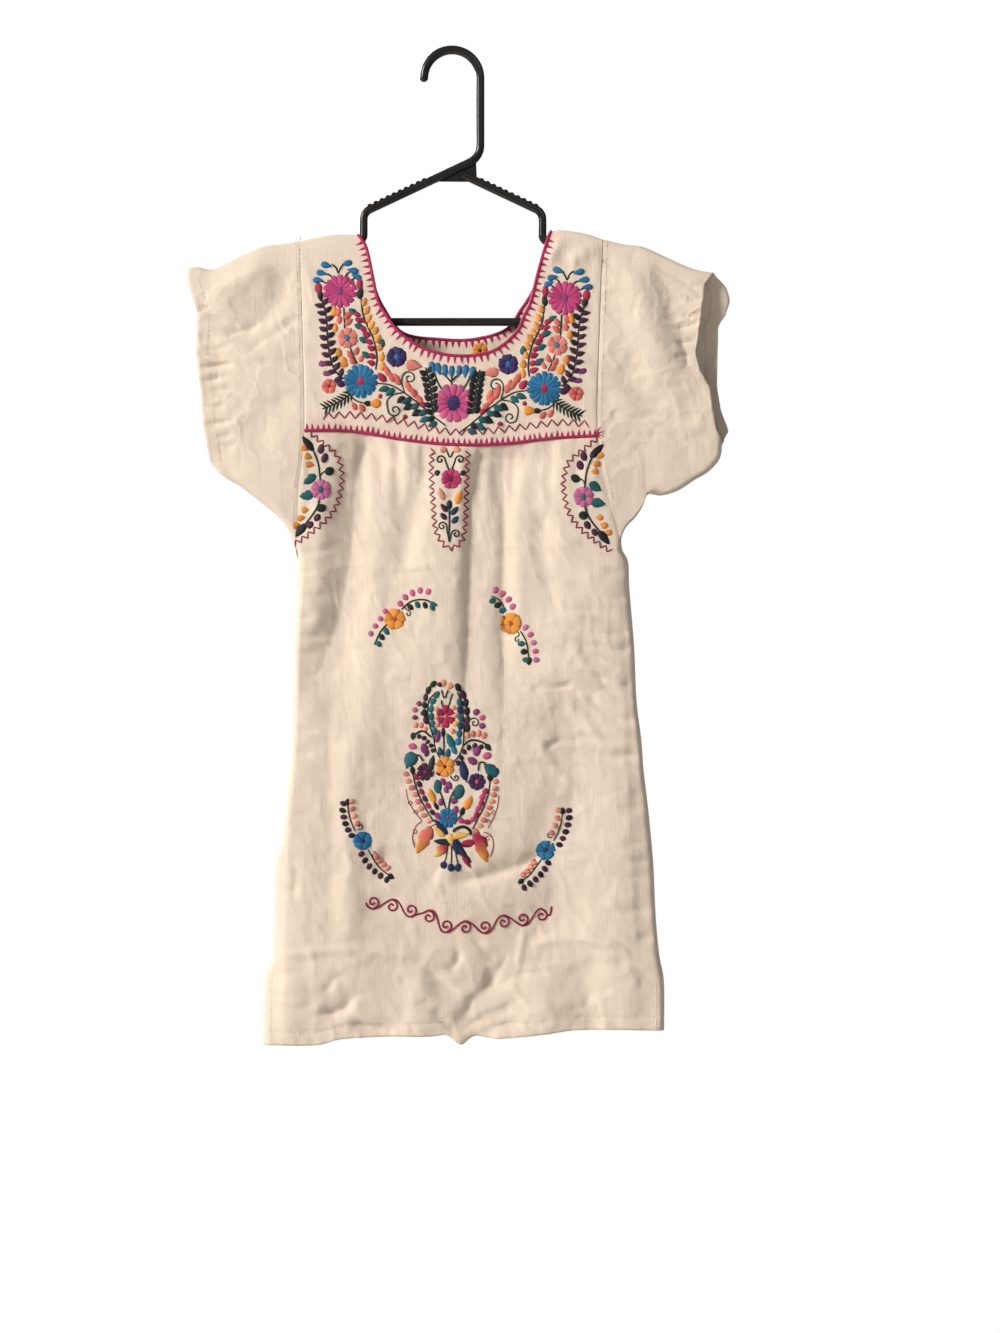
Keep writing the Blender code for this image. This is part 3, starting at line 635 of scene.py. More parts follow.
    def inset(self, rows: Rows, distance: float) -> Rows:
        """A line beside another one.

        Args:
            rows: The other line.
            distance: How far to +X of it where it falls.

        Returns:
            The line.
        """
        path = Line(rows)
        along = np.linspace(0, path.length, max(4, round(path.length / 12)))
        x, z = path.at(along)
        away = path.heading(np.clip(along, 0.5, path.length - 0.5)) + math.pi / 2
        return tuple(zip((x + np.cos(away) * distance).tolist(), (z + np.sin(away) * distance).tolist()))


def mesh_piece(name: str, points: Array, faces: list[list[int]]) -> bpy.types.Object:
    """A new mesh object at the origin.

    Args:
        name: Its name.
        points: Its corners, in millimetres.
        faces: Its faces, as rows of corner numbers.

    Returns:
        The object, linked to the scene.
    """
    mesh = bpy.data.meshes.new(name)
    mesh.from_pydata((points * MM).tolist(), [], faces)
    mesh.shade_smooth()
    piece = bpy.data.objects.new(name, mesh)
    bpy.context.scene.collection.objects.link(piece)
    return piece


def only(piece: bpy.types.Object) -> None:
    """Selects one object and makes it the active one.

    Args:
        piece: The object.
    """
    bpy.ops.object.select_all(action="DESELECT")
    piece.select_set(True)
    bpy.context.view_layer.objects.active = piece


@contextmanager
def editing() -> Iterator[None]:
    """Edit mode on the active object, with its whole mesh selected at the start.

    Yields:
        Nothing, while the edit lasts.
    """
    bpy.ops.object.mode_set(mode="EDIT")
    bpy.ops.mesh.select_all(action="SELECT")
    yield
    bpy.ops.object.mode_set(mode="OBJECT")


@dataclass
class Cloth:
    """How a sheet of the garment's cotton is laid out and thickened.

    Attributes:
        thickness: Thickness of the single cloth.
        hem_thickness: Thickness where the cloth is folded over and stitched.
    """

    thickness: float = 0.7
    hem_thickness: float = 1.3

    def lay(self, name: str, x: Array, y: Array, z: Array, side: Side, hem: Array, tube: bool = False,
            dye: Array | None = None, straight: bool = False) -> bpy.types.Object:
        """A sheet through a grid of points of its outer face.

        Args:
            name: Name of the piece.
            x: Places to the right, rows by columns.
            y: Depths.
            z: Heights.
            side: The way in which the outer face looks where columns run to +X and rows run down.
            hem: From 0 to 1, how far a point belongs to a folded hem.
            tube: Whether the last column closes on the first one.
            dye: From 0 to 1, how far the red thread has tinted the cloth.
            straight: Whether the yarn runs upright and level all over, and not along the grid.

        Returns:
            The finished sheet.
        """
        rows, columns = x.shape
        points = np.stack([x, y, z], axis=-1).reshape(-1, 3)
        i, j = np.meshgrid(np.arange(rows - 1), np.arange(columns - 1), indexing="ij")
        corner = (i * columns + j).ravel()
        quads = np.stack([corner, corner + columns, corner + columns + 1, corner + 1], axis=-1)
        if side is Side.BACK:
            quads = quads[:, ::-1]
        sheet = mesh_piece(name, points, quads.tolist())
        grid = points.reshape(rows, columns, 3)
        across = np.linalg.norm(np.diff(grid, axis=1), axis=2)
        down = np.linalg.norm(np.diff(grid, axis=0), axis=2)
        u = np.concatenate([np.zeros((rows, 1)), np.cumsum(across, axis=1)], axis=1)
        v = np.concatenate([np.zeros((1, columns)), np.cumsum(down, axis=0)])
        u = u - u[:, columns // 2][:, None]
        if straight:
            u, v = x, -z
        layout = sheet.data.uv_layers.new(name="cloth_run")
        index = np.zeros(len(sheet.data.loops), np.int32)
        sheet.data.loops.foreach_get("vertex_index", index)
        flat = np.stack([u.ravel()[index], -v.ravel()[index]], axis=-1) * MM
        layout.data.foreach_set("uv", flat.ravel())
        tinted = sheet.data.attributes.new(name="thread_dye", type="FLOAT", domain="POINT")
        share = np.zeros(x.size) if dye is None else dye.ravel()
        tinted.data.foreach_set("value", share.astype(np.float32))
        group = sheet.vertex_groups.new(name="hem")
        for number in np.flatnonzero(hem.ravel() > 0.01):
            group.add([int(number)], float(hem.ravel()[number]), "REPLACE")
        only(sheet)
        if tube:
            with editing():
                bpy.ops.mesh.remove_doubles(threshold=0.02 * MM)
        wall = sheet.modifiers.new("thickness", "SOLIDIFY")
        wall.thickness = self.hem_thickness * MM
        wall.offset = -1.0
        wall.use_even_offset = False
        wall.vertex_group = "hem"
        wall.thickness_vertex_group = self.thickness / self.hem_thickness
        bpy.ops.object.modifier_apply(modifier=wall.name)
        return sheet


def crowded_ends(length: float, turn: float, step: float) -> Array:
    """Places across a panel, close together where its sides turn round.

    Args:
        length: Width of the panel.
        turn: Width over which a side turns.
        step: Spacing between them.

    Returns:
        Shares of the width from 0 to 1.
    """
    left = (1 - np.cos(np.linspace(0, math.pi / 2, 9))) * turn
    right = length - left[::-1]
    count = max(2, round((right[0] - left[-1]) / step))
    middle = np.linspace(left[-1], right[0], count + 1)
    return np.concatenate([left[:-1], middle, right[1:]]) / length


@dataclass
class BodyPanel:
    """The front or back of the dress below the yoke: one panel, open at the hem and in the side slits.

    Attributes:
        form: The dress's surface.
        side: Which wall it is.
        columns_step: Spacing of its points across.
        rows_step: Spacing of its points down.
        tuck: How far its top runs up behind the yoke.
        sink: How far the tucked edge lies behind the yoke.
        width: Its width, for the spacing of its points.
        height: Its height, for the same.
        turn: Width over which a side turns round.
        back_lift: How much shorter the back is at the hem.
    """

    HEM_ROWS = (14.5, 13.0, 12.0, 11.0, 10.0, 8.5, 6.0, 4.0, 2.0, 0.0)

    form: DressForm
    side: Side
    columns_step: float = 1.6
    rows_step: float = 2.3
    tuck: float = 3.0
    sink: float = 1.1
    width: float = 270
    height: float = 508
    turn: float = 14
    back_lift: float = 4.0

    def edge(self, armhole: Rows, side_rows: Rows, z: Array) -> Array:
        """How far to the side the panel reaches: to the armhole, and under it to the side seam.

        Args:
            armhole: The armhole's line.
            side_rows: The side seam.
            z: Heights.

        Returns:
            Its edge, in x, at those heights.
        """
        lines = (Line(armhole), Line(side_rows))
        above, below = (np.interp(-z, -line.points[:, 1], line.points[:, 0]) for line in lines)
        return np.where(z > armhole[-1][1], above, below)

    def grid(self) -> tuple[Array, Array]:
        """Points of the panel, from the yoke's seam to the hem and from side to side.

        Returns:
            Their places to the right and their heights.
        """
        form = self.form
        across = crowded_ends(self.width, self.turn, self.columns_step)
        down = np.linspace(0, 1, round(self.height / self.rows_step) + 1)
        hem_share = 1 - np.array(self.HEM_ROWS) / self.height
        down = np.unique(np.concatenate([down[down < hem_share[0] - 0.003], hem_share]))
        u, v = np.meshgrid(across, down)
        top_x = form.seam.points[0, 0] + (form.seam.points[-1, 0] - form.seam.points[0, 0]) * u
        top = form.seam_height(top_x) + self.tuck
        foot_x = form.hem.points[0, 0] + (form.hem.points[-1, 0] - form.hem.points[0, 0]) * u
        foot = form.hem_height(foot_x) + self.lift()
        z = top + (foot - top) * v
        left = self.edge(LEFT_ARMHOLE, LEFT_SIDE, z) + np.where(z > LEFT_SIDE[0][1], CLEARANCE, 0.0)
        right = self.edge(RIGHT_ARMHOLE, RIGHT_SIDE, z) - np.where(z > RIGHT_SIDE[0][1], CLEARANCE, 0.0)
        return left + (right - left) * u, z

    def lift(self) -> float:
        """How much higher than the front's hem this panel ends."""
        return self.back_lift if self.side is Side.BACK else 0.0

    def build(self, cloth: Cloth) -> bpy.types.Object:
        """Makes the panel.

        Args:
            cloth: How the sheet is laid and thickened.

        Returns:
            The piece.
        """
        x, z = self.grid()
        behind = self.sink * eased((z - self.form.seam_height(x) + 1.6) / 1.6)
        y = self.side.value * (self.form.stand_off(self.side, x, z) - behind + CLEARANCE)
        for column, armhole in ((0, LEFT_ARMHOLE), (-1, RIGHT_ARMHOLE)):
            sewn = z[:, column] < armhole[-1][1]
            opening = self.form.slit_opening * eased((self.form.slit_top - z[sewn, column]) / 50)
            y[sewn, column] = self.side.value * (opening + CLEARANCE)
        hem = 1 - eased((z - self.form.hem_height(x) - self.lift() - 10.2) / 1.2)
        slit = np.minimum(x - x[:, :1], x[:, -1:] - x)
        slit_band = (1 - eased((slit - 6.5) / 1.2)) * eased((self.form.slit_top - z) / 8)
        name = "front_body_cloth" if self.side is Side.FRONT else "back_body_cloth"
        dye = self.form.bleed(self.side, x, z)
        return cloth.lay(name, x, y, z, self.side, np.maximum(hem, slit_band), dye=dye)


@dataclass
class Yoke:
    """The embroidered yoke round the neck, from one shoulder ridge to the other.

    Attributes:
        form: The dress's surface.
        side: Which wall it is.
        strap_count: Rows down each strap.
        bottom_count: Rows along the neck's bottom.
        across_count: Columns from the neck to the seams.
        overlap: How far its lower edge covers the panel below.
        ridge_gap: Gap between both yokes on the shoulder ridge, halved.
    """

    STRAP_TOP = (0.0, 0.12, 0.45, 1.0, 1.8, 2.8, 4.0, 5.4)

    form: DressForm
    side: Side
    strap_count: int = 34
    bottom_count: int = 84
    across_count: int = 40
    overlap: float = 1.2
    ridge_gap: float = 0.03

    def strap(self, neck: Rows, armhole: Rows, corner_z: float) -> tuple[Array, Array, Array, Array]:
        """Points down both edges of a strap, to the neck's bottom and to the yoke's corner.

        Args:
            neck: The strap's inner edge.
            armhole: Its outer edge.
            corner_z: Height of the yoke's corner.

        Returns:
            x and z of the inner edge, and x and z of the outer one.
        """
        inner = Line(neck)
        outer = Line(armhole)
        corner = float(np.interp(-corner_z, -outer.points[:, 1], outer.reach))
        points = []
        for line, end in ((inner, inner.length), (outer, corner)):
            stations = np.concatenate([self.STRAP_TOP, np.linspace(7, end, self.strap_count + 1)])
            points.extend(line.at(stations))
        return tuple(points)

    def grid(self) -> tuple[Array, Array]:
        """Points of the yoke: rows run round the neck, columns from the neck out to the seams.

        Returns:
            Their places to the right and their heights.
        """
        neck = FRONT_NECK if self.side is Side.FRONT else BACK_NECK
        left = self.strap(neck[0], LEFT_ARMHOLE, YOKE_SEAM[0][1])
        right = self.strap(tuple(reversed(neck[2])), RIGHT_ARMHOLE, YOKE_SEAM[-1][1])
        below = []
        for line in (Line(neck[1]), self.form.seam):
            below.extend(line.at(np.linspace(0, line.length, self.bottom_count + 1)[1:-1]))
        stretches = (np.concatenate([a, b, c[::-1]])[:, None] for a, b, c in zip(left, below, right))
        inner_x, inner_z, outer_x, outer_z = stretches
        across = np.linspace(0, 1, self.across_count + 1)[None, :]
        x = inner_x + (outer_x - inner_x) * across
        z = inner_z + (outer_z - inner_z) * across
        for top in (0, -1):
            chord = z[top]
            lift = self.form.ridge(x[top]) - chord
            fade = 1 - eased((chord.max() - z) / 60)
            z = z + np.where(np.sign(x) == np.sign(x[top, 0]), lift[None, :] * fade, 0.0)
        middle = (x.max() + x.min()) / 2
        x = x + across * CLEARANCE * np.clip((middle - x) / 60, -1, 1)
        return x, z - across**6 * self.overlap * eased((-300 - z) / 14)

    def build(self, cloth: Cloth) -> bpy.types.Object:
        """Makes the yoke.

        Args:
            cloth: How the sheet is laid and thickened.

        Returns:
            The piece.
        """
        x, z = self.grid()
        y = self.side.value * (self.form.stand_off(self.side, x, z) + CLEARANCE)
        y = np.where(self.form.ridge(x) - z < 0.01, self.side.value * self.ridge_gap, y)
        hem = 1 - eased((z - self.form.seam_height(x) - 4.5) / 1.5)
        name = "front_yoke_cloth" if self.side is Side.FRONT else "back_yoke_cloth"
        turned = Side.BACK if self.side is Side.FRONT else Side.FRONT
        return cloth.lay(name, x, y, z, turned, hem, dye=self.form.bleed(self.side, x, z), straight=True)


@dataclass
class Sleeve:
    """A short sleeve: a tube folded over the hanger's arm and sewn along its underside.

    Attributes:
        form: The dress's surface.
        name: Name of the piece.
        sign: -1 for the viewer's left sleeve and +1 for the right one.
        along_count: Points from the armhole to the cuff.
        front_count: Points down the front, from the ridge to the underside.
        back_count: Points down the back.
        LENGTH: Its length, for the spacing of its points.
        AT_ARMHOLE: Distances of the first points from the armhole.
        AT_CUFF: Distances of the last points from the cuff's edge.
        OVER_RIDGE: Shares of the way down at which the first points lie, close over the ridge.
    """

    LENGTH = 85.0
    AT_ARMHOLE = (0.0, 0.8, 1.7, 2.8, 4.2)
    AT_CUFF = (14, 12.5, 11.5, 10.5, 9.5, 7.5, 5, 2.5, 0)
    OVER_RIDGE = (0.0, 0.0006, 0.0025, 0.006, 0.011, 0.018, 0.027, 0.038)

    form: DressForm
    name: str
    sign: int
    along_count: int = 58
    front_count: int = 124
    back_count: int = 34

    def half(self, cuff: Rows, shares: Array) -> tuple[Array, Array]:
        """Points of one side of the sleeve.

        Args:
            cuff: The cuff's line, as heights and places to the right.
            shares: Shares of the way from the ridge down to the underside.

        Returns:
            Their places to the right and their heights.
        """
        armhole = LEFT_ARMHOLE if self.sign < 0 else RIGHT_ARMHOLE
        under = LEFT_UNDER_SLEEVE if self.sign < 0 else RIGHT_UNDER_SLEEVE
        arm = Line(armhole)
        bottom = Line(tuple(reversed(under)))
        band = 1 - np.array(self.AT_CUFF) / self.LENGTH
        start = np.array(self.AT_ARMHOLE) / self.LENGTH
        along = np.concatenate([start, np.linspace(0.07, band[0], self.along_count)[:-1], band])
        s, q = np.meshgrid(along, shares, indexing="ij")
        cuff_top = (cuff[0][1], cuff[0][0])
        top_x = armhole[0][0] + (cuff_top[0] - armhole[0][0]) * s
        top_z = self.form.ridge(top_x)
        foot_x, foot_z = bottom.at(s * bottom.length)
        x = top_x + (foot_x - top_x) * q
        z = top_z + (foot_z - top_z) * q
        arm_line = np.interp(-z, -arm.points[:, 1], arm.points[:, 0])
        arm_chord = armhole[0][0] + (under[-1][0] - armhole[0][0]) * q
        cuff_line = table(cuff, z)
        cuff_chord = cuff_top[0] + (under[0][0] - cuff_top[0]) * q
        x = x + (1 - s) ** 2 * (arm_line - arm_chord) + s**2 * (cuff_line - cuff_chord)
        return x + self.sign * CLEARANCE * (1 - s), z

    def build(self, cloth: Cloth) -> bpy.types.Object:
        """Makes the sleeve.

        Args:
            cloth: How the sheet is laid and thickened.

        Returns:
            The piece.
        """
        cuffs = (LEFT_CUFF, LEFT_CUFF) if self.sign < 0 else (RIGHT_CUFF_FRONT, RIGHT_CUFF_BACK)
        under = 1 - (1 - np.cos(np.linspace(0, math.pi / 2, 9)))[::-1] * 0.16
        halves = []
        for side, cuff, count in zip(Side, cuffs, (self.front_count, self.back_count)):
            shares = np.concatenate([self.OVER_RIDGE, np.linspace(0.055, under[0], count)[:-1], under])
            x, z = self.half(cuff, shares)
            y = side.value * self.form.stand_off(side, x, z)
            y[:, [0, -1]] = 0.0
            halves.append((x, y, z))
        x, y, z = (np.hstack([a, b[:, -2::-1]]) for a, b in zip(*halves))
        x[:, -1] = x[:, 0]
        z[:, -1] = z[:, 0]
        hem = np.zeros(x.shape)
        hem[-7:] = 1.0
        return cloth.lay(self.name, x, y, z, Side.FRONT if self.sign < 0 else Side.BACK, hem, tube=True)


class Thread(Enum):
    """Colours of the embroidery's cotton threads, as display values from 0 to 255."""

    MAGENTA = (196, 66, 122)
    ROSE = (207, 96, 142)
    LILAC = (198, 114, 162)
    CRIMSON = (176, 38, 78)
    SEAM = (184, 44, 88)
    CORAL = (221, 108, 97)
    SALMON = (226, 134, 120)
    PEACH = (234, 158, 128)
    ORANGE = (234, 150, 58)
    AMBER = (240, 160, 74)
    RUST = (176, 84, 44)
    GOLD = (240, 190, 92)
    BLUE = (38, 114, 160)
    TEAL = (26, 96, 102)
    NAVY = (34, 44, 86)
    INDIGO = (56, 38, 96)
    PLUM = (74, 28, 58)
    PURPLE = (138, 58, 114)
    STEM = (24, 42, 30)
    BLACK = (26, 24, 30)
    VINE = (150, 32, 68)
    CREAM = (244, 226, 198)

    def linear(self) -> tuple[float, float, float]:
        """The colour in linear light."""
        shares = (channel / 255 for channel in self.value)
        return tuple(s / 12.92 if s <= 0.04045 else ((s + 0.055) / 1.055) ** 2.4 for s in shares)


class Satin(Enum):
    """Outlines of a satin-stitched pad: how sharp its base and its tip are."""

    OVAL = (0.5, 0.5)
    LEAF = (0.55, 0.85)
    DROP = (0.95, 0.45)
    PETAL = (0.75, 0.24)
    TOOTH = (0.12, 0.9)


@dataclass
class PadPattern:
    """One satin-stitched pad in its own square, modelled once: 0 to 1 along and -1 to 1 across."""

    along: int = 6
    across: int = 4

    def __post_init__(self) -> None:
        """Models the pad's crowned sheet from a grid and reads its corners and faces."""
        bpy.ops.object.select_all(action="DESELECT")
        bpy.ops.mesh.primitive_grid_add(x_subdivisions=self.along, y_subdivisions=self.across, size=2)
        grid = bpy.context.object
        self.places = np.array([vert.co[:2] for vert in grid.data.vertices])
        self.faces = [list(face.vertices) for face in grid.data.polygons]
        bpy.data.objects.remove(grid)
        columns = self.along + 1
        rim = list(range(columns))
        rim += [row * columns + columns - 1 for row in range(1, self.across + 1)]
        rim += [self.across * columns + column for column in range(columns - 2, -1, -1)]
        rim += [row * columns for row in range(self.across - 1, 0, -1)]
        self.faces.append(rim[::-1])


class Stitcher:
    """Collects embroidery as seen from the front, then lays it on the cloth as one joined mesh.

    Attributes:
        SMALL: Length under which a pad has the plainer pattern.
        ROOT: Height of a stitch's rim, which lies in the cloth.
        SKEIN: Range over which the thread's own pattern is shifted from stitch to stitch.
        FLIP: Sum of the x of a motif and its mirrored twin, and how much lower the twin sits.
        FULLER: How much larger a pad of coloured thread is than its drawn size.
        SPACING: Spacing of the points along a stitched line.
    """

    SMALL = 4.6
    ROOT = -0.12
    SKEIN = 400
    FLIP = (1.3, 5.9)
    FULLER = 1.12
    SPACING = 1.6

    def __init__(self, name: str, skin: Callable[[Array, Array], Array], facing: int, seed: int) -> None:
        """Starts an empty piece of needlework.

        Args:
            name: Name of the piece.
            skin: The cloth's face, as a function of x and z.
            facing: -1 where that face looks to the front and +1 where it looks to the back.
            seed: Seed of its small differences.
        """
        self.name = name
        self.skin = skin
        self.facing = facing
        self.rng = np.random.default_rng(seed)
        self.patterns = {False: PadPattern(), True: PadPattern(4, 3)}
        self.points: list[Array] = []
        self.runs: list[Array] = []
        self.tints: list[Array] = []
        self.faces: list[list[int]] = []
        self.count = 0
        self.mirrored = False

    def place(self, x: float, z: float) -> tuple[float, float]:
        """A motif's place, on the other half of the dress while mirrored."""
        return (self.FLIP[0] - x, z - self.FLIP[1]) if self.mirrored else (x, z)

    def turn(self, angle: float) -> float:
        """A motif's direction in degrees, on the other half of the dress while mirrored."""
        return 180 - angle if self.mirrored else angle

    def tint(self, colour: Thread) -> Array:
        """A thread's colour with the small differences of a skein."""
        base = np.array(colour.linear())
        return np.clip(base * self.rng.uniform(0.86, 1.14) * self.rng.uniform(0.95, 1.05, 3), 0, 1)

    def gather(self, points: Array, run: Array, tints: Array, faces: list[list[int]]) -> None:
        """Adds a form.

        Args:
            points: Its corners: x, z and height over the cloth.
            run: Its corners' places along and across the thread.
            tints: Its corners' colours.
            faces: Its faces.
        """
        self.points.append(points)
        self.runs.append(run)
        self.tints.append(tints)
        self.faces.extend([corner + self.count for corner in face] for face in faces)
        self.count += len(points)

    def pad(self, x: float, z: float, length: float, width: float, angle: float, colour: Thread,
            shape: Satin = Satin.LEAF, tip: Thread | None = None, rise: float | None = None) -> None:
        """A satin-stitched pad round a place.

        Args:
            x: Its middle.
            z: Its middle.
            length: Its length.
            width: Its width.
            angle: The direction of its tip, in degrees from +X.
            colour: Its thread.
            shape: Its outline.
            tip: Another thread towards its tip.
            rise: Its height over the cloth.
        """
        x, z = self.place(x, z)
        angle = math.radians(self.turn(angle) + self.rng.uniform(-4, 4))
        pattern = self.patterns[length < self.SMALL]
        t = 0.5 - 0.5 * np.cos((0.5 + pattern.places[:, 0] * 0.5) * math.pi)
        s = pattern.places[:, 1]
        base, end = shape.value
        peak = base / (base + end)
        soft = np.clip(t, 0.015, 0.985)
        half = (soft**base * (1 - soft) ** end) / (peak**base * (1 - peak) ** end)
        plain = shape in (Satin.PETAL, Satin.TOOTH) or colour is Thread.CREAM
        full = 1.0 if plain else self.FULLER
        along = (t - 0.5) * length * self.rng.uniform(1.03, 1.15) * full
        out = s * half * width * self.rng.uniform(0.56, 0.64) * full
        high = (min(0.95, 0.22 * width + 0.16) if rise is None else rise)
        inner = (np.abs(s) < 0.99) & (t > 0.01) & (t < 0.99)
        height = np.where(inner, high * (1 - 0.55 * s**2) * (0.7 + 0.3 * np.sin(math.pi * t)), self.ROOT)
        points = np.stack([
            x + along * math.cos(angle) - out * math.sin(angle),
            z + along * math.sin(angle) + out * math.cos(angle),
            height,
        ], axis=-1)
        tints = np.repeat(self.tint(colour)[None, :], len(t), axis=0)
        if tip is not None:
            blend = eased((t - 0.35) / 0.35)[:, None]
            tints = tints * (1 - blend) + self.tint(tip)[None, :] * blend
        shifts = self.rng.uniform(0, self.SKEIN, 2)
        run = np.stack([along + shifts[0], out + shifts[1]], axis=-1)
        self.gather(points, run, tints, pattern.faces)

    def cord(self, x: Array, z: Array, width: float, colour: Thread, rise: float = 0.42,
             whole: bool = False, sunk: float = 0.0) -> None:
        """A stitched line along a path.

        Args:
            x: The path, which isn't mirrored here.
            z: The path.
            width: Its width.
            colour: Its thread.
            rise: Its height, as a share of its width.
            whole: Whether it is a full round cord, half sunk in the cloth.
            sunk: How far its middle lies under the cloth's face.
        """
        x = np.asarray(x, float)
        z = np.asarray(z, float)
        dx = np.gradient(x)
        dz = np.gradient(z)
        size = np.maximum(np.hypot(dx, dz), 1e-6)
        side_x, side_z = -dz / size, dx / size
        if whole:
            angles = np.linspace(0, 2 * math.pi, 9)[:-1]
            across = np.cos(angles) * width / 2
            height = np.sin(angles) * width / 2 - sunk
        else:
            across = np.array([-0.5, -0.4, -0.16, 0.16, 0.4, 0.5])[::-1] * width
            shoulder, crown = 0.6 * rise * width, rise * width
            height = np.array([self.ROOT, shoulder, crown, crown, shoulder, self.ROOT])
        taper = np.ones(len(x))
        taper[[0, -1]] = 0.6
        ring = len(across)
        points = np.stack([
            x[:, None] + side_x[:, None] * across * taper[:, None],
            z[:, None] + side_z[:, None] * across * taper[:, None],
            np.repeat(height[None, :], len(x), axis=0),
        ], axis=-1).reshape(-1, 3)
        along = np.concatenate([[0.0], np.cumsum(np.hypot(np.diff(x), np.diff(z)))])
        along = along + self.rng.uniform(0, self.SKEIN)
        run = np.stack(np.meshgrid(along, across, indexing="ij"), axis=-1).reshape(-1, 2)
        tints = np.repeat(self.tint(colour)[None, :], len(points), axis=0)
        faces = []
        for i in range(0, (len(x) - 1) * ring, ring):
            for j in range(ring):
                k = (j + 1) % ring
                faces.append([i + j, i + k, i + ring + k, i + ring + j])
        faces.append(list(range(ring))[::-1])
        faces.append([(len(x) - 1) * ring + j for j in range(ring)])
        self.gather(points, run, tints, faces)

    def finish(self, finish: Finish) -> bpy.types.Object:
        """Lays everything on the cloth.

        Args:
            finish: The threads' finish.

        Returns:
            The joined piece.
        """
        x, z, height = np.concatenate(self.points).T
        step = 0.06
        y = self.skin(x, z)
        slope_x = (self.skin(x + step, z) - self.skin(x - step, z)) / (2 * step)
        slope_z = (self.skin(x, z + step) - self.skin(x, z - step)) / (2 * step)
        normal = np.stack([slope_x, -np.ones(len(x)), slope_z], axis=-1) * -self.facing
        normal /= np.linalg.norm(normal, axis=1)[:, None]
        laid = np.stack([x, y, z], axis=-1) + normal * height[:, None]
        piece = mesh_piece(self.name, laid, self.faces)
        layout = piece.data.uv_layers.new(name="thread_run")
        index = np.zeros(len(piece.data.loops), np.int32)
        piece.data.loops.foreach_get("vertex_index", index)
        layout.data.foreach_set("uv", (np.concatenate(self.runs)[index] * MM).ravel())
        tint = piece.data.color_attributes.new(name="thread_tint", type="FLOAT_COLOR", domain="POINT")
        tints = np.concatenate([np.concatenate(self.tints), np.ones((self.count, 1))], axis=1)
        tint.data.foreach_set("color", tints.ravel())
        only(piece)
        with editing():
            bpy.ops.mesh.normals_make_consistent(inside=False)
        finish.dress(piece)
        return piece


class Motif:
    """Something that can be stitched."""

    def stitch(self, work: Stitcher) -> None:
        """Adds the motif to a piece of needlework."""
        raise NotImplementedError


@dataclass(frozen=True)
class Leaf(Motif):
    """One pad: a leaf, bud or dot, placed by its middle."""

    x: float
    z: float
    length: float
    width: float
    angle: float
    colour: Thread
    shape: Satin = Satin.LEAF
    tip: Thread | None = None

    def stitch(self, work: Stitcher) -> None:
        """Adds the pad."""
        work.pad(self.x, self.z, self.length, self.width, self.angle, self.colour, self.shape, self.tip)


@dataclass(frozen=True)
class Stem(Motif):
    """A stitched line through a few points."""

    line: Rows
    width: float = 1.5
    colour: Thread = Thread.STEM

    def stitch(self, work: Stitcher) -> None:
        """Adds the line.

        Args:
            work: The needlework that it is added to.
        """
        path = Line([work.place(*point) for point in self.line])
        x, z = path.at(np.linspace(0, path.length, max(3, round(path.length / work.SPACING))))
        work.cord(x, z, self.width, self.colour)


@dataclass(frozen=True)
class Sprig(Motif):
    """A stem with leaves on both sides.

    Attributes:
        line: The stem, from its root to its tip.
        pairs: Number of leaves on each side.
        length: Length of a leaf.
        width: Width of a leaf.
        lean: Angle between a leaf and the stem.
        left: Threads of the leaves at its left, looking to its tip, in turn.
        right: Threads of the leaves at its right.
        offset: Distance from the stem to a leaf's middle.
        stem: The stem's thread, or None where it has none.
        stem_width: Width of the stem.
    """

    line: Rows
    pairs: int
    length: float
    width: float
    lean: float
    left: tuple[Thread, ...] = ()
    right: tuple[Thread, ...] = ()
    offset: float = 3.2
    stem: Thread | None = Thread.STEM
    stem_width: float = 1.5

    def stitch(self, work: Stitcher) -> None:
        """Adds the stem and its leaves.

        Args:
            work: The needlework that it is added to.
        """
        if self.stem is not None:
            Stem(self.line, self.stem_width, self.stem).stitch(work)
        path = Line(self.line)
        for number in range(self.pairs):
            for hand, colours in ((1, self.left), (-1, self.right)):
                if not colours:
                    continue
                shift = 0.25 * (hand < 0)
                distance = path.length * (number + 0.55 + shift) / (self.pairs + 0.3)
                x, z, heading = path.spot(distance)
                x, z = beside(x, z, heading + 90 * hand, self.offset)
                colour = colours[number % len(colours)]
                work.pad(x, z, self.length, self.width, heading + hand * self.lean, colour)


@dataclass(frozen=True)
class Beads(Motif):
    """Pads in a row along a line."""

    line: Rows
    count: int
    length: float
    width: float
    lean: float
    colours: tuple[Thread, ...]

    def stitch(self, work: Stitcher) -> None:
        """Adds the row.

        Args:
            work: The needlework that it is added to.
        """
        path = Line(self.line)
        for number in range(self.count):
            distance = path.length * number / max(1, self.count - 1)
            x, z, heading = path.spot(distance, 0.5)
            colour = self.colours[number % len(self.colours)]
            work.pad(x, z, self.length, self.width, heading + self.lean, colour, Satin.OVAL)


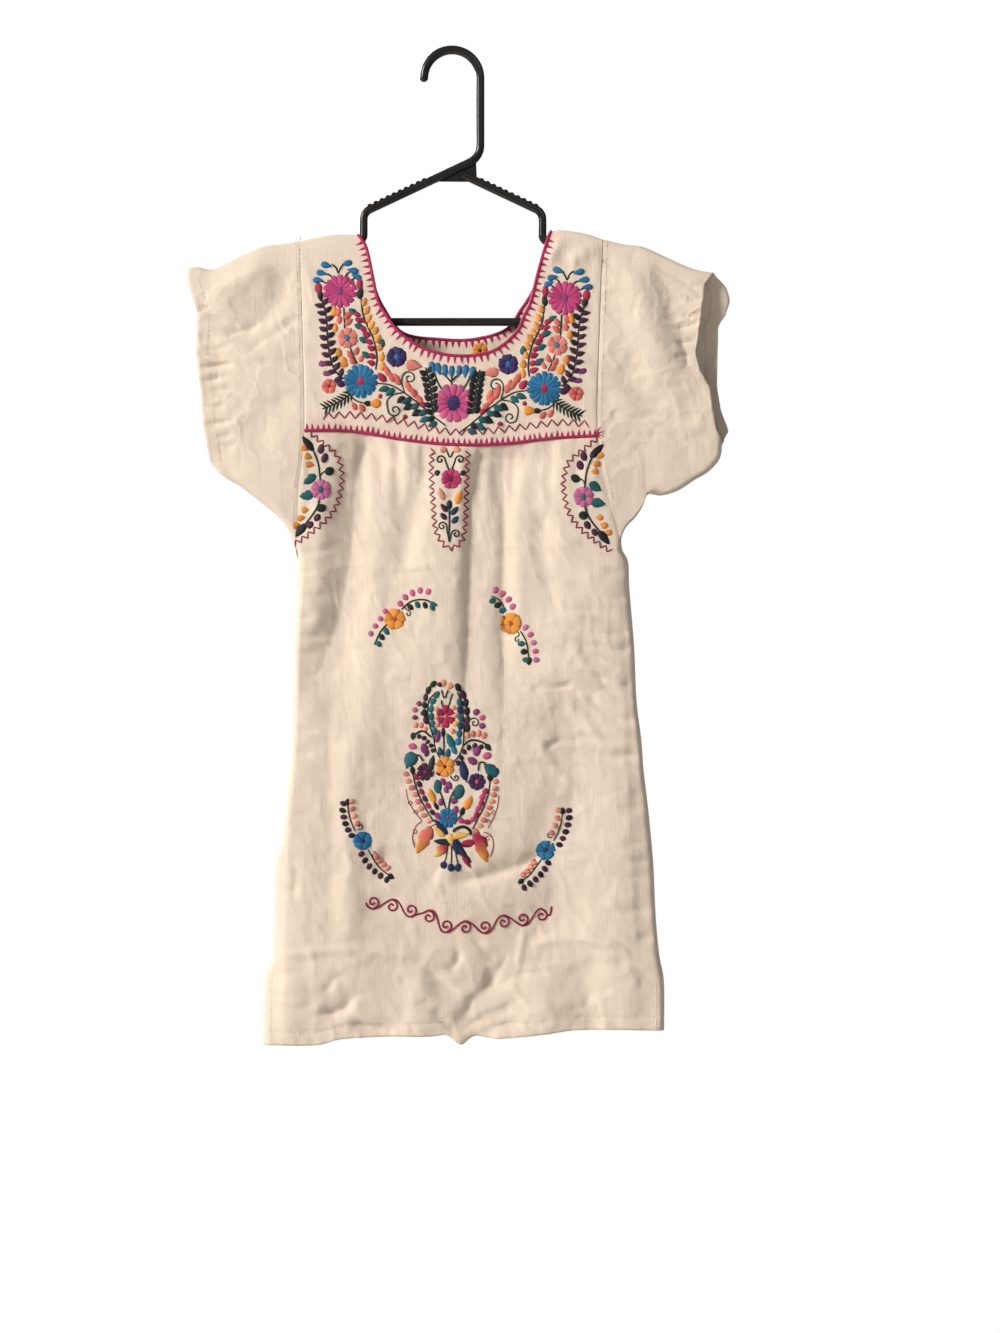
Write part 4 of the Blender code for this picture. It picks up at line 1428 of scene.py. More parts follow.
@dataclass(frozen=True)
class Flower(Motif):
    """Petals round a heart.

    Attributes:
        x: Its middle.
        z: Its middle.
        radius: Radius to the petals' tips.
        petals: Number of petals.
        colour: The petals' thread.
        heart: The heart's thread.
        heart_radius: Radius of the heart.
        tip: Another thread at the petals' tips.
        stretch: Its height over its width.
        start: Direction of the first petal.
    """

    x: float
    z: float
    radius: float
    petals: int
    colour: Thread
    heart: Thread
    heart_radius: float
    tip: Thread | None = None
    stretch: float = 1.0
    start: float = 90.0

    def stitch(self, work: Stitcher) -> None:
        """Adds the petals and the heart.

        Args:
            work: The needlework that it is added to.
        """
        inner = self.heart_radius * 0.6
        length = self.radius - inner
        wide = 2 * math.pi * self.radius * 0.74 / self.petals
        for number in range(self.petals):
            angle = self.start + 360 * number / self.petals
            direction = math.radians(angle)
            reach = inner + length / 2
            x = self.x + reach * math.cos(direction)
            z = self.z + reach * math.sin(direction) * self.stretch
            stretched = length * (1 + (self.stretch - 1) * abs(math.sin(direction)))
            work.pad(x, z, stretched, wide * 1.12, angle, self.colour, Satin.PETAL, self.tip, rise=0.75)
        across = self.heart_radius * 2
        work.pad(self.x, self.z, across, across, 90, self.heart, Satin.OVAL, rise=1.0)


@dataclass(frozen=True)
class Curl(Motif):
    """A tendril that winds in to a spiral.

    Attributes:
        x: The spiral's middle.
        z: The spiral's middle.
        radius: Its outer radius.
        start: Direction from its middle to where the tendril comes in.
        turns: Turns that it makes, positive to the left.
        tail: Points that lead up to it.
        width: Width of the line.
        colour: Its thread.
        POINTS_A_TURN: Points along each turn.
        WOUND_IN: Share of its radius that it loses on its way in.
    """

    x: float
    z: float
    radius: float
    start: float
    turns: float
    tail: Rows = ()
    width: float = 1.5
    colour: Thread = Thread.STEM

    POINTS_A_TURN = 16
    WOUND_IN = 0.82

    def stitch(self, work: Stitcher) -> None:
        """Adds the line.

        Args:
            work: The needlework that it is added to.
        """
        share = np.linspace(0, 1, max(9, round(abs(self.turns) * self.POINTS_A_TURN)))
        angle = np.radians(self.start + 360 * self.turns * share)
        radius = self.radius * (1 - self.WOUND_IN * share**0.9)
        around = zip(self.x + radius * np.cos(angle), self.z + radius * np.sin(angle))
        spiral = [work.place(float(a), float(b)) for a, b in around]
        x, z = np.array(spiral).T
        if self.tail:
            lead = Line([work.place(*point) for point in self.tail] + spiral[:2])
            count = max(4, round(lead.length / work.SPACING))
            lead_x, lead_z = lead.at(np.linspace(0, lead.length, count))
            x = np.concatenate([lead_x, x[2:]])
            z = np.concatenate([lead_z, z[2:]])
        work.cord(x, z, self.width, self.colour)


@dataclass(frozen=True)
class Zigzag(Motif):
    """A zigzag line of stitches."""

    line: Rows
    pitch: float = 9.2
    swing: float = 5.6
    width: float = 1.3
    colour: Thread = Thread.VINE

    def stitch(self, work: Stitcher) -> None:
        """Adds the zigzag, one stitch after another.

        Args:
            work: The needlework that it is added to.
        """
        path = Line([work.place(*point) for point in self.line])
        count = max(2, round(path.length / self.pitch * 2))
        distance = np.linspace(0, path.length, count + 1)
        x, z = path.at(distance)
        heading = path.heading(np.clip(distance, 0.5, path.length - 0.5)) + math.pi / 2
        swing = np.where(np.arange(count + 1) % 2 == 0, -1, 1) * self.swing / 2
        x = x + np.cos(heading) * swing
        z = z + np.sin(heading) * swing
        for a, b, c, d in zip(x, z, x[1:], z[1:]):
            work.cord(np.linspace(a, c, 4), np.linspace(b, d, 4), self.width, self.colour)


@dataclass(frozen=True)
class Blanket(Motif):
    """Blanket stitch: a corded edge with teeth that run into the cloth.

    Attributes:
        line: The edge.
        side: +1 where the teeth point to the left of the line.
        pitch: Spacing of the teeth.
        tooth: Length of a tooth.
        cord: Width of the edge's cord.
        whole: Whether the cord wraps the cloth's edge.
        over: Whether the line starts and ends on the shoulder ridge.
    """

    line: Rows
    side: int
    pitch: float = 5.4
    tooth: float = 6.6
    cord: float = 2.8
    whole: bool = True
    over: bool = False
    colour: Thread = Thread.SEAM

    def stitch(self, work: Stitcher) -> None:
        """Adds the cord and the teeth.

        Args:
            work: The needlework that it is added to.
        """
        path = Line(self.line)
        distance = np.linspace(0, path.length, round(path.length / 1.5))
        if self.over:
            turn = 4.7 * (1 - np.cos(np.linspace(0, math.pi / 2, 8)))
            between = distance[(distance > 5.5) & (distance < path.length - 5.5)]
            distance = np.concatenate([turn, between, (path.length - turn)[::-1]])
        x, z = path.at(distance)
        work.cord(x, z, self.cord, self.colour, whole=self.whole, sunk=0.3)
        count = round(path.length / self.pitch)
        for number in range(count):
            place = path.length * (number + 0.5) / count
            if self.over and min(place, path.length - place) < 4:
                continue
            x, z, heading = path.spot(place)
            reach = self.tooth * float(work.rng.uniform(0.85, 1.12)) / 2
            angle = heading + 90 * self.side + float(work.rng.uniform(-9, 9))
            x, z = beside(x, z, angle, reach)
            work.pad(x, z, reach * 2, 2.7, angle, self.colour, Satin.TOOTH, rise=0.6)


@dataclass(frozen=True)
class Running(Motif):
    """A line of machine stitches in the cloth's own colour."""

    line: Rows
    pitch: float = 3.6

    def stitch(self, work: Stitcher) -> None:
        """Adds the stitches.

        Args:
            work: The needlework that it is added to.
        """
        path = Line(self.line)
        count = max(1, round(path.length / self.pitch))
        for number in range(count):
            x, z, heading = path.spot(path.length * (number + 0.5) / count)
            work.pad(x, z, 2.7, 0.75, heading, Thread.CREAM, Satin.OVAL, rise=0.28)


def rows_of(shape: Satin, colour: Thread, *rows: Sequence[float]) -> tuple[Leaf, ...]:
    """Single pads of one outline and thread, from x, z, length, width and angle of each."""
    return tuple(Leaf(*row, colour, shape) for row in rows)


# The threads' short name in the tables of stitches.
T = Thread

STRAP = (
    Stem(((-95, -185.5), (-97.5, -180), (-101, -177.5))), Stem(((-95, -185.5), (-93, -180.5), (-91, -178))),
    Stem(((-100, -189), (-102.5, -186.5), (-106, -186))),
    Stem(((-90, -189), (-87.5, -185.5), (-85.5, -184))),
    Stem(((-105, -194), (-107.5, -192.5), (-110, -192))),
    Stem(((-85.5, -194), (-83, -190.5), (-81.5, -189))),
    *rows_of(Satin.DROP, T.BLUE, (-105, -178.5, 8.2, 4.6, 165), (-109, -185, 8, 4.6, 172),
        (-112, -191, 7.6, 4.6, 178), (-88, -177, 8.2, 4.6, 20), (-83, -183, 8, 4.6, -10),
        (-80, -188, 7.4, 4.4, -25)),
    Flower(-93.5, -200.5, 13.9, 14, T.MAGENTA, T.PURPLE, 3.1),
    *rows_of(Satin.OVAL, T.CRIMSON, (-111.5, -198, 8, 5.4, 95), (-77, -194.5, 8, 4.8, 85)),
    *rows_of(Satin.LEAF, T.BLACK, (-110, -204.5, 8, 4.4, -80), (-76.5, -202, 9, 4.4, 82)),
    Sprig(((-90, -274.5), (-95, -270.5), (-99.5, -263.5), (-102.5, -251), (-104, -239.5), (-104.5, -228.5),
        (-106, -217.5), (-109.5, -206.5)), 10, 6.6, 3.9, 62, (T.PLUM,), (T.PLUM, T.PLUM, T.BLACK), 3.3),
    *rows_of(Satin.DROP, T.PURPLE, (-107.5, -262, 6.5, 4.2, 160), (-103.5, -270, 6.5, 4, 172)),
    Flower(-102.5, -280.5, 5.7, 5, T.CORAL, T.CRIMSON, 1.6), Leaf(-93, -278.5, 7, 5, 165, T.PLUM),
    Stem(((-90.5, -214), (-90, -222.5), (-89.5, -232))),
    *rows_of(Satin.LEAF, T.CORAL, (-95, -218, 6, 4.4, 75), (-86.5, -220.5, 8, 4.4, 50),
        (-94, -224.5, 6, 4.2, 80), (-86, -226.5, 7, 4, 40), (-85, -254, 6.6, 4.4, 130),
        (-79.5, -251, 6.4, 4, 70), (-75.5, -257, 5.6, 3.8, 65), (-83, -259, 6, 4, 130)),
    *rows_of(Satin.LEAF, T.ORANGE, (-98.5, -217.5, 7.4, 5, 80), (-97.5, -231, 6.4, 4.8, 95),
        (-94.5, -252, 6.4, 5, 95), (-90, -260, 8.4, 6, 110)),
    Flower(-87, -240, 8.3, 6, T.SALMON, T.BLUE, 2.3), Stem(((-85, -248), (-82.5, -254.5), (-79, -262))),
    Stem(((-76, -206), (-74.5, -219), (-70.5, -230), (-66, -239.5), (-63.5, -249.5), (-62.5, -258),
        (-63.5, -266.5))),
    *rows_of(Satin.LEAF, T.AMBER, (-73.5, -209.5, 6.4, 4.6, 70), (-71, -216.5, 6.6, 4.6, 62),
        (-69.5, -223.5, 6.4, 4.4, 62), (-67, -229, 6.4, 4.6, 55), (-64, -234, 7, 5, 55),
        (-62, -240.5, 6.6, 4.6, 60), (-60, -247.5, 6.6, 4.8, 70), (-58.5, -255.5, 7, 5, 78),
        (-58, -263.5, 7, 5, 82)),
    *rows_of(Satin.LEAF, T.CRIMSON, (-79.5, -220, 6, 4, 150), (-74, -225, 5, 3.4, 130),
        (-78, -225, 5.4, 3.8, 160), (-74.5, -232, 6, 4, 150), (-71.5, -237, 6.4, 4.2, 150),
        (-69.5, -243, 6.2, 4, 150), (-67.5, -248.5, 6.2, 4.2, 155), (-67, -255, 6.2, 4.2, 155),
        (-67.5, -261, 6.4, 4.2, 160)),
    *rows_of(Satin.LEAF, T.TEAL, (-83, -217.5, 6.6, 4, 150), (-78, -230, 6.6, 4.8, 165),
        (-74, -241.5, 6.8, 4.8, 150), (-72, -254, 6.8, 4.6, 140), (-58.5, -244.5, 6.6, 5, 80)),
    Flower(-76, -276.5, 14, 15, T.BLUE, T.CRIMSON, 3.3),
    Flower(-46, -256, 8, 5, T.INDIGO, T.BLUE, 2.4, start=80),
    Leaf(-31.5, -263, 11, 7.6, 172, T.SALMON, Satin.DROP),
    *rows_of(Satin.LEAF, T.CORAL, (-54, -267.5, 9, 4.6, 120), (-50.5, -272.5, 9, 4.4, 125),
        (-46, -274.5, 10, 4.6, 115), (-36.5, -280.5, 9.4, 4.6, 118), (-32, -285.5, 8.4, 4.4, 125),
        (-27.5, -291, 7.4, 4.4, 130)),
    *rows_of(Satin.LEAF, T.CRIMSON, (-58.5, -273, 8, 5, 130), (-24.5, -295.5, 5.6, 4.2, 130)),
    Stem(((-63, -278), (-51.5, -279.5), (-42, -284.5), (-33.5, -290.5), (-27, -295.5), (-16, -305),
        (-5, -313.5)), 1.3),
    Curl(-35.5, -273.5, 6.4, 190, -1.35, ((-39.5, -285.5), (-41.5, -279)), 1.25),
    Curl(-47.5, -300.5, 5.6, 200, 1.2, ((-40.5, -286), (-48.5, -287.5), (-54, -293)), 1.25),
    Leaf(-57, -283, 7.4, 4.6, 200, T.TEAL), Leaf(-51.5, -285.5, 7.4, 4.6, 215, T.TEAL),
    Leaf(-42.5, -292, 7, 5, 215, T.BLACK), Leaf(-38, -293, 7.4, 4.6, 200, T.TEAL),
    Leaf(-36.5, -298, 7.4, 5, 205, T.BLACK), Leaf(-31.5, -297.5, 7, 4.6, 200, T.TEAL),
    Leaf(-29.5, -303, 7.6, 5, 205, T.BLACK), Leaf(-25, -303, 7, 4.6, 200, T.TEAL),
    Leaf(-23, -308.5, 7.4, 4.8, 205, T.TEAL), Leaf(-18, -308, 6.6, 4.4, 200, T.BLACK),
    Leaf(-16, -312.5, 7.2, 4.6, 205, T.TEAL),
    Stem(((-85, -287), (-82.5, -290.5), (-78, -293.5), (-71, -295)), 1.3),
    Leaf(-70, -295, 5.4, 4.2, 0, T.BLACK, Satin.OVAL), Leaf(-64, -295, 8, 6.4, 0, T.ORANGE, Satin.DROP),
    Leaf(-59.5, -289, 3.6, 3.2, 60, T.CRIMSON, Satin.OVAL),
    Leaf(-39, -306, 3.8, 3.8, 0, T.CRIMSON, Satin.OVAL),
    *rows_of(Satin.LEAF, T.CORAL, (-81.5, -297, 6.4, 4, 120), (-75, -298.5, 6.4, 4.2, 125)),
    Sprig(((-84, -286.5), (-92, -292.5), (-100, -296.5), (-108, -299.5)), 8, 6.4, 1.7, 52, (T.STEM,),
        (T.STEM,), 2.6),
)

CENTRE = (
    Flower(1.5, -294.5, 15.9, 13, T.MAGENTA, T.INDIGO, 6, T.ROSE),
    Stem(((-0.5, -277), (-5, -272), (-9, -269))), Stem(((-0.5, -277), (4, -272), (8.5, -269))),
    Stem(((-0.5, -279), (0, -274), (0, -270.5))), Stem(((-8.5, -283), (-12, -276.5), (-14.5, -269.5))),
    Stem(((10, -282), (13.5, -276.5), (15.5, -270.5))),
    *rows_of(Satin.DROP, T.BLUE, (-16, -265, 9, 4.4, 108), (-11, -266, 9, 4.4, 102),
        (-5.5, -267.5, 9, 4.2, 96), (0, -268.5, 9, 4.4, 90), (6, -268, 9, 4.4, 84),
        (11.5, -268, 9.4, 4.6, 82), (17, -269, 9, 4, 78)),
    Sprig(((-15.5, -304), (-17, -294), (-17.5, -284), (-19.5, -274), (-22, -264.5)), 7, 5.8, 4.2, 48,
        (T.BLACK,), (T.BLACK,), 3.2),
    Sprig(((17.5, -304), (18.5, -294), (20, -284), (21.5, -274), (23.5, -266.5)), 7, 5.8, 4.4, 44,
        (T.BLACK,), (T.BLACK,), 3.4),
    *rows_of(Satin.LEAF, T.CORAL, (32, -287.5, 8.4, 4.6, 70), (38.5, -283.5, 9, 4.6, 75)),
)

HALF_OVAL = (
    Zigzag(((-121, -317.5), (-109, -327), (-96.5, -337.5), (-92.5, -349.5), (-92, -361), (-96, -379.5),
        (-104, -391.5), (-114, -400.5), (-123.5, -407.5), (-132, -412.5)), 6.4, 4.4),
    Stem(((-122.5, -324), (-116, -333.5), (-111.5, -345), (-110, -356), (-109, -367), (-111, -379),
        (-116, -388), (-123.5, -397.5), (-128.5, -403)), 1.6),
    Leaf(-120, -328.5, 13, 5.6, 130, T.BLACK), Leaf(-126, -401, 12, 5.4, 230, T.BLACK),
    Flower(-109, -367, 8.4, 6, T.ROSE, T.TEAL, 2.6, T.LILAC),
    Stem(((-110.5, -357), (-108, -353), (-104, -351)), 1.3),
    Stem(((-111.5, -376.5), (-110.5, -379.5), (-108, -382)), 1.3),
    *rows_of(Satin.LEAF, T.TEAL, (-118.5, -358.5, 10, 6.6, 215), (-121, -372, 10.4, 6.6, 190)),
    *rows_of(Satin.OVAL, T.STEM, (-102, -351.5, 6.8, 6, 30), (-108.5, -382.5, 6.6, 5.6, 20)),
    *rows_of(Satin.DROP, T.ORANGE, (-122.5, -332.5, 5.6, 4.8, 150), (-119.5, -339.5, 5.6, 4.8, 165),
        (-118, -346, 5.6, 4.8, 175), (-122, -384, 5.4, 4.8, 190), (-125.5, -390.5, 5.4, 4.8, 200),
        (-129.5, -396.5, 5.2, 4.6, 205)),
    *rows_of(Satin.OVAL, T.PLUM, (-109, -333, 7, 4.6, 75), (-106, -340.5, 6.6, 4.8, 70),
        (-112, -390.5, 6, 4.6, 60), (-118, -396.5, 5.6, 4.4, 50)),
)

TONGUE = (
    Zigzag(((-15.5, -332.5), (-17, -343.5), (-17, -355.5), (-15.5, -379.5), (-13.5, -400), (-9, -410),
        (-2.5, -416), (4, -414), (10, -405.5), (12, -379.5), (12.5, -355.5), (13.5, -334.5)), 6.4, 4.4),
    Flower(-0.5, -358, 8.2, 7, T.CRIMSON, T.PLUM, 2.2, T.MAGENTA),
    Curl(-9.5, -342, 3.9, 20, 1.15, ((-2, -352), (-5, -343.5))),
    Curl(7, -342, 3.9, 160, -1.15, ((-0.5, -352), (2.5, -343.5))),
    Stem(((-4, -334.5), (-1.5, -340), (1.5, -334.5))),
    *rows_of(Satin.OVAL, T.PEACH, (-7, -333.5, 5.2, 4.8, 0), (4, -333.5, 5.2, 4.8, 0)),
    *rows_of(Satin.OVAL, T.STEM, (-12, -353, 4.4, 4.2, 45), (9.5, -353, 4.4, 4.2, 45),
        (-2, -379.5, 6.4, 4.2, 90)),
    *rows_of(Satin.LEAF, T.ORANGE, (6, -373, 10, 5, 70)),
    *rows_of(Satin.LEAF, T.PEACH, (-8.5, -370.5, 9, 4.6, 110)),
    Stem(((-2, -381.5), (-2, -395), (-2.5, -409))),
    *rows_of(Satin.LEAF, T.PLUM, (-6.5, -382, 7, 4, 130), (-7, -389, 6.4, 3.8, 130)),
    *rows_of(Satin.LEAF, T.NAVY, (2.5, -384.5, 7, 4, 50), (3, -392, 6.6, 4, 50)),
    Curl(-8, -397.5, 4.1, -14, 1.3, ((-2, -411), (-3, -405.5), (-4, -400.5)), 1.3),
    Curl(3.5, -404, 3.9, 172, -1.3, ((-2, -411), (-1, -407.5)), 1.3),
)

UPPER_ARCS = (
    Flower(-47.5, -475, 8.4, 5, T.ORANGE, T.RUST, 2.2),
    Stem(((-42, -467), (-36, -461.5), (-29.5, -459), (-22, -459), (-15, -462))),
    Beads(((-43, -462), (-38.5, -456.5), (-32.5, -453), (-25.5, -451), (-19.5, -452)), 5, 4.8, 4, 90,
        (T.ROSE,)),
    Beads(((-34.5, -465), (-28.5, -463), (-22, -463.5), (-16, -465)), 4, 5, 3.8, -60, (T.STEM, T.TEAL)),
    Curl(-36.5, -470.5, 2.9, 100, -1, ((-40.5, -463.5), (-38.5, -466)), 1.1),
    Leaf(-15, -462.5, 5.6, 3.8, -20, T.TEAL),
    Stem(((-53.5, -479), (-58.5, -484), (-61.5, -489.5), (-64.5, -496.5))),
    Beads(((-55.5, -468.5), (-60, -475.5), (-64, -481), (-67.5, -487)), 4, 4.4, 3.8, 100, (T.ROSE,
        T.LILAC)),
    Beads(((-54.5, -485), (-58, -489.5), (-61, -495.5)), 3, 5, 3.8, 70, (T.TEAL, T.STEM)),
    Curl(-54, -486.5, 2.4, 120, -1, ((-55.5, -482), (-56.5, -484.5)), 1),
    Flower(49.5, -478.5, 8.6, 5, T.ORANGE, T.RUST, 2.2),
    Stem(((45.5, -468), (41, -460.5), (36, -456.5), (32.5, -456)), 1.2),
    Beads(((51, -464.5), (47.5, -458.5), (42.5, -453.5), (36.5, -450.5)), 4, 5, 4.2, -90, (T.ROSE,)),
    Beads(((42.5, -467.5), (38, -463), (34, -459.5)), 3, 5.2, 4.2, 70, (T.TEAL, T.STEM)),
    Stem(((57, -484.5), (61.5, -492), (63.5, -500.5), (64.5, -510.5)), 1.2),
    Beads(((61.5, -482), (65.5, -487.5), (68.5, -495), (70, -502.5), (70.5, -509)), 5, 4.6, 4, 90, (T.LILAC,
        T.ROSE)),
    Beads(((58, -495.5), (60.5, -502.5), (62, -509)), 3, 5.2, 4, 70, (T.TEAL, T.STEM)),
    Leaf(64.5, -510, 6, 4.4, -90, T.STEM), Curl(55, -492, 2.9, 60, 1, ((54.5, -484.5), (56, -487)), 1.1),
)

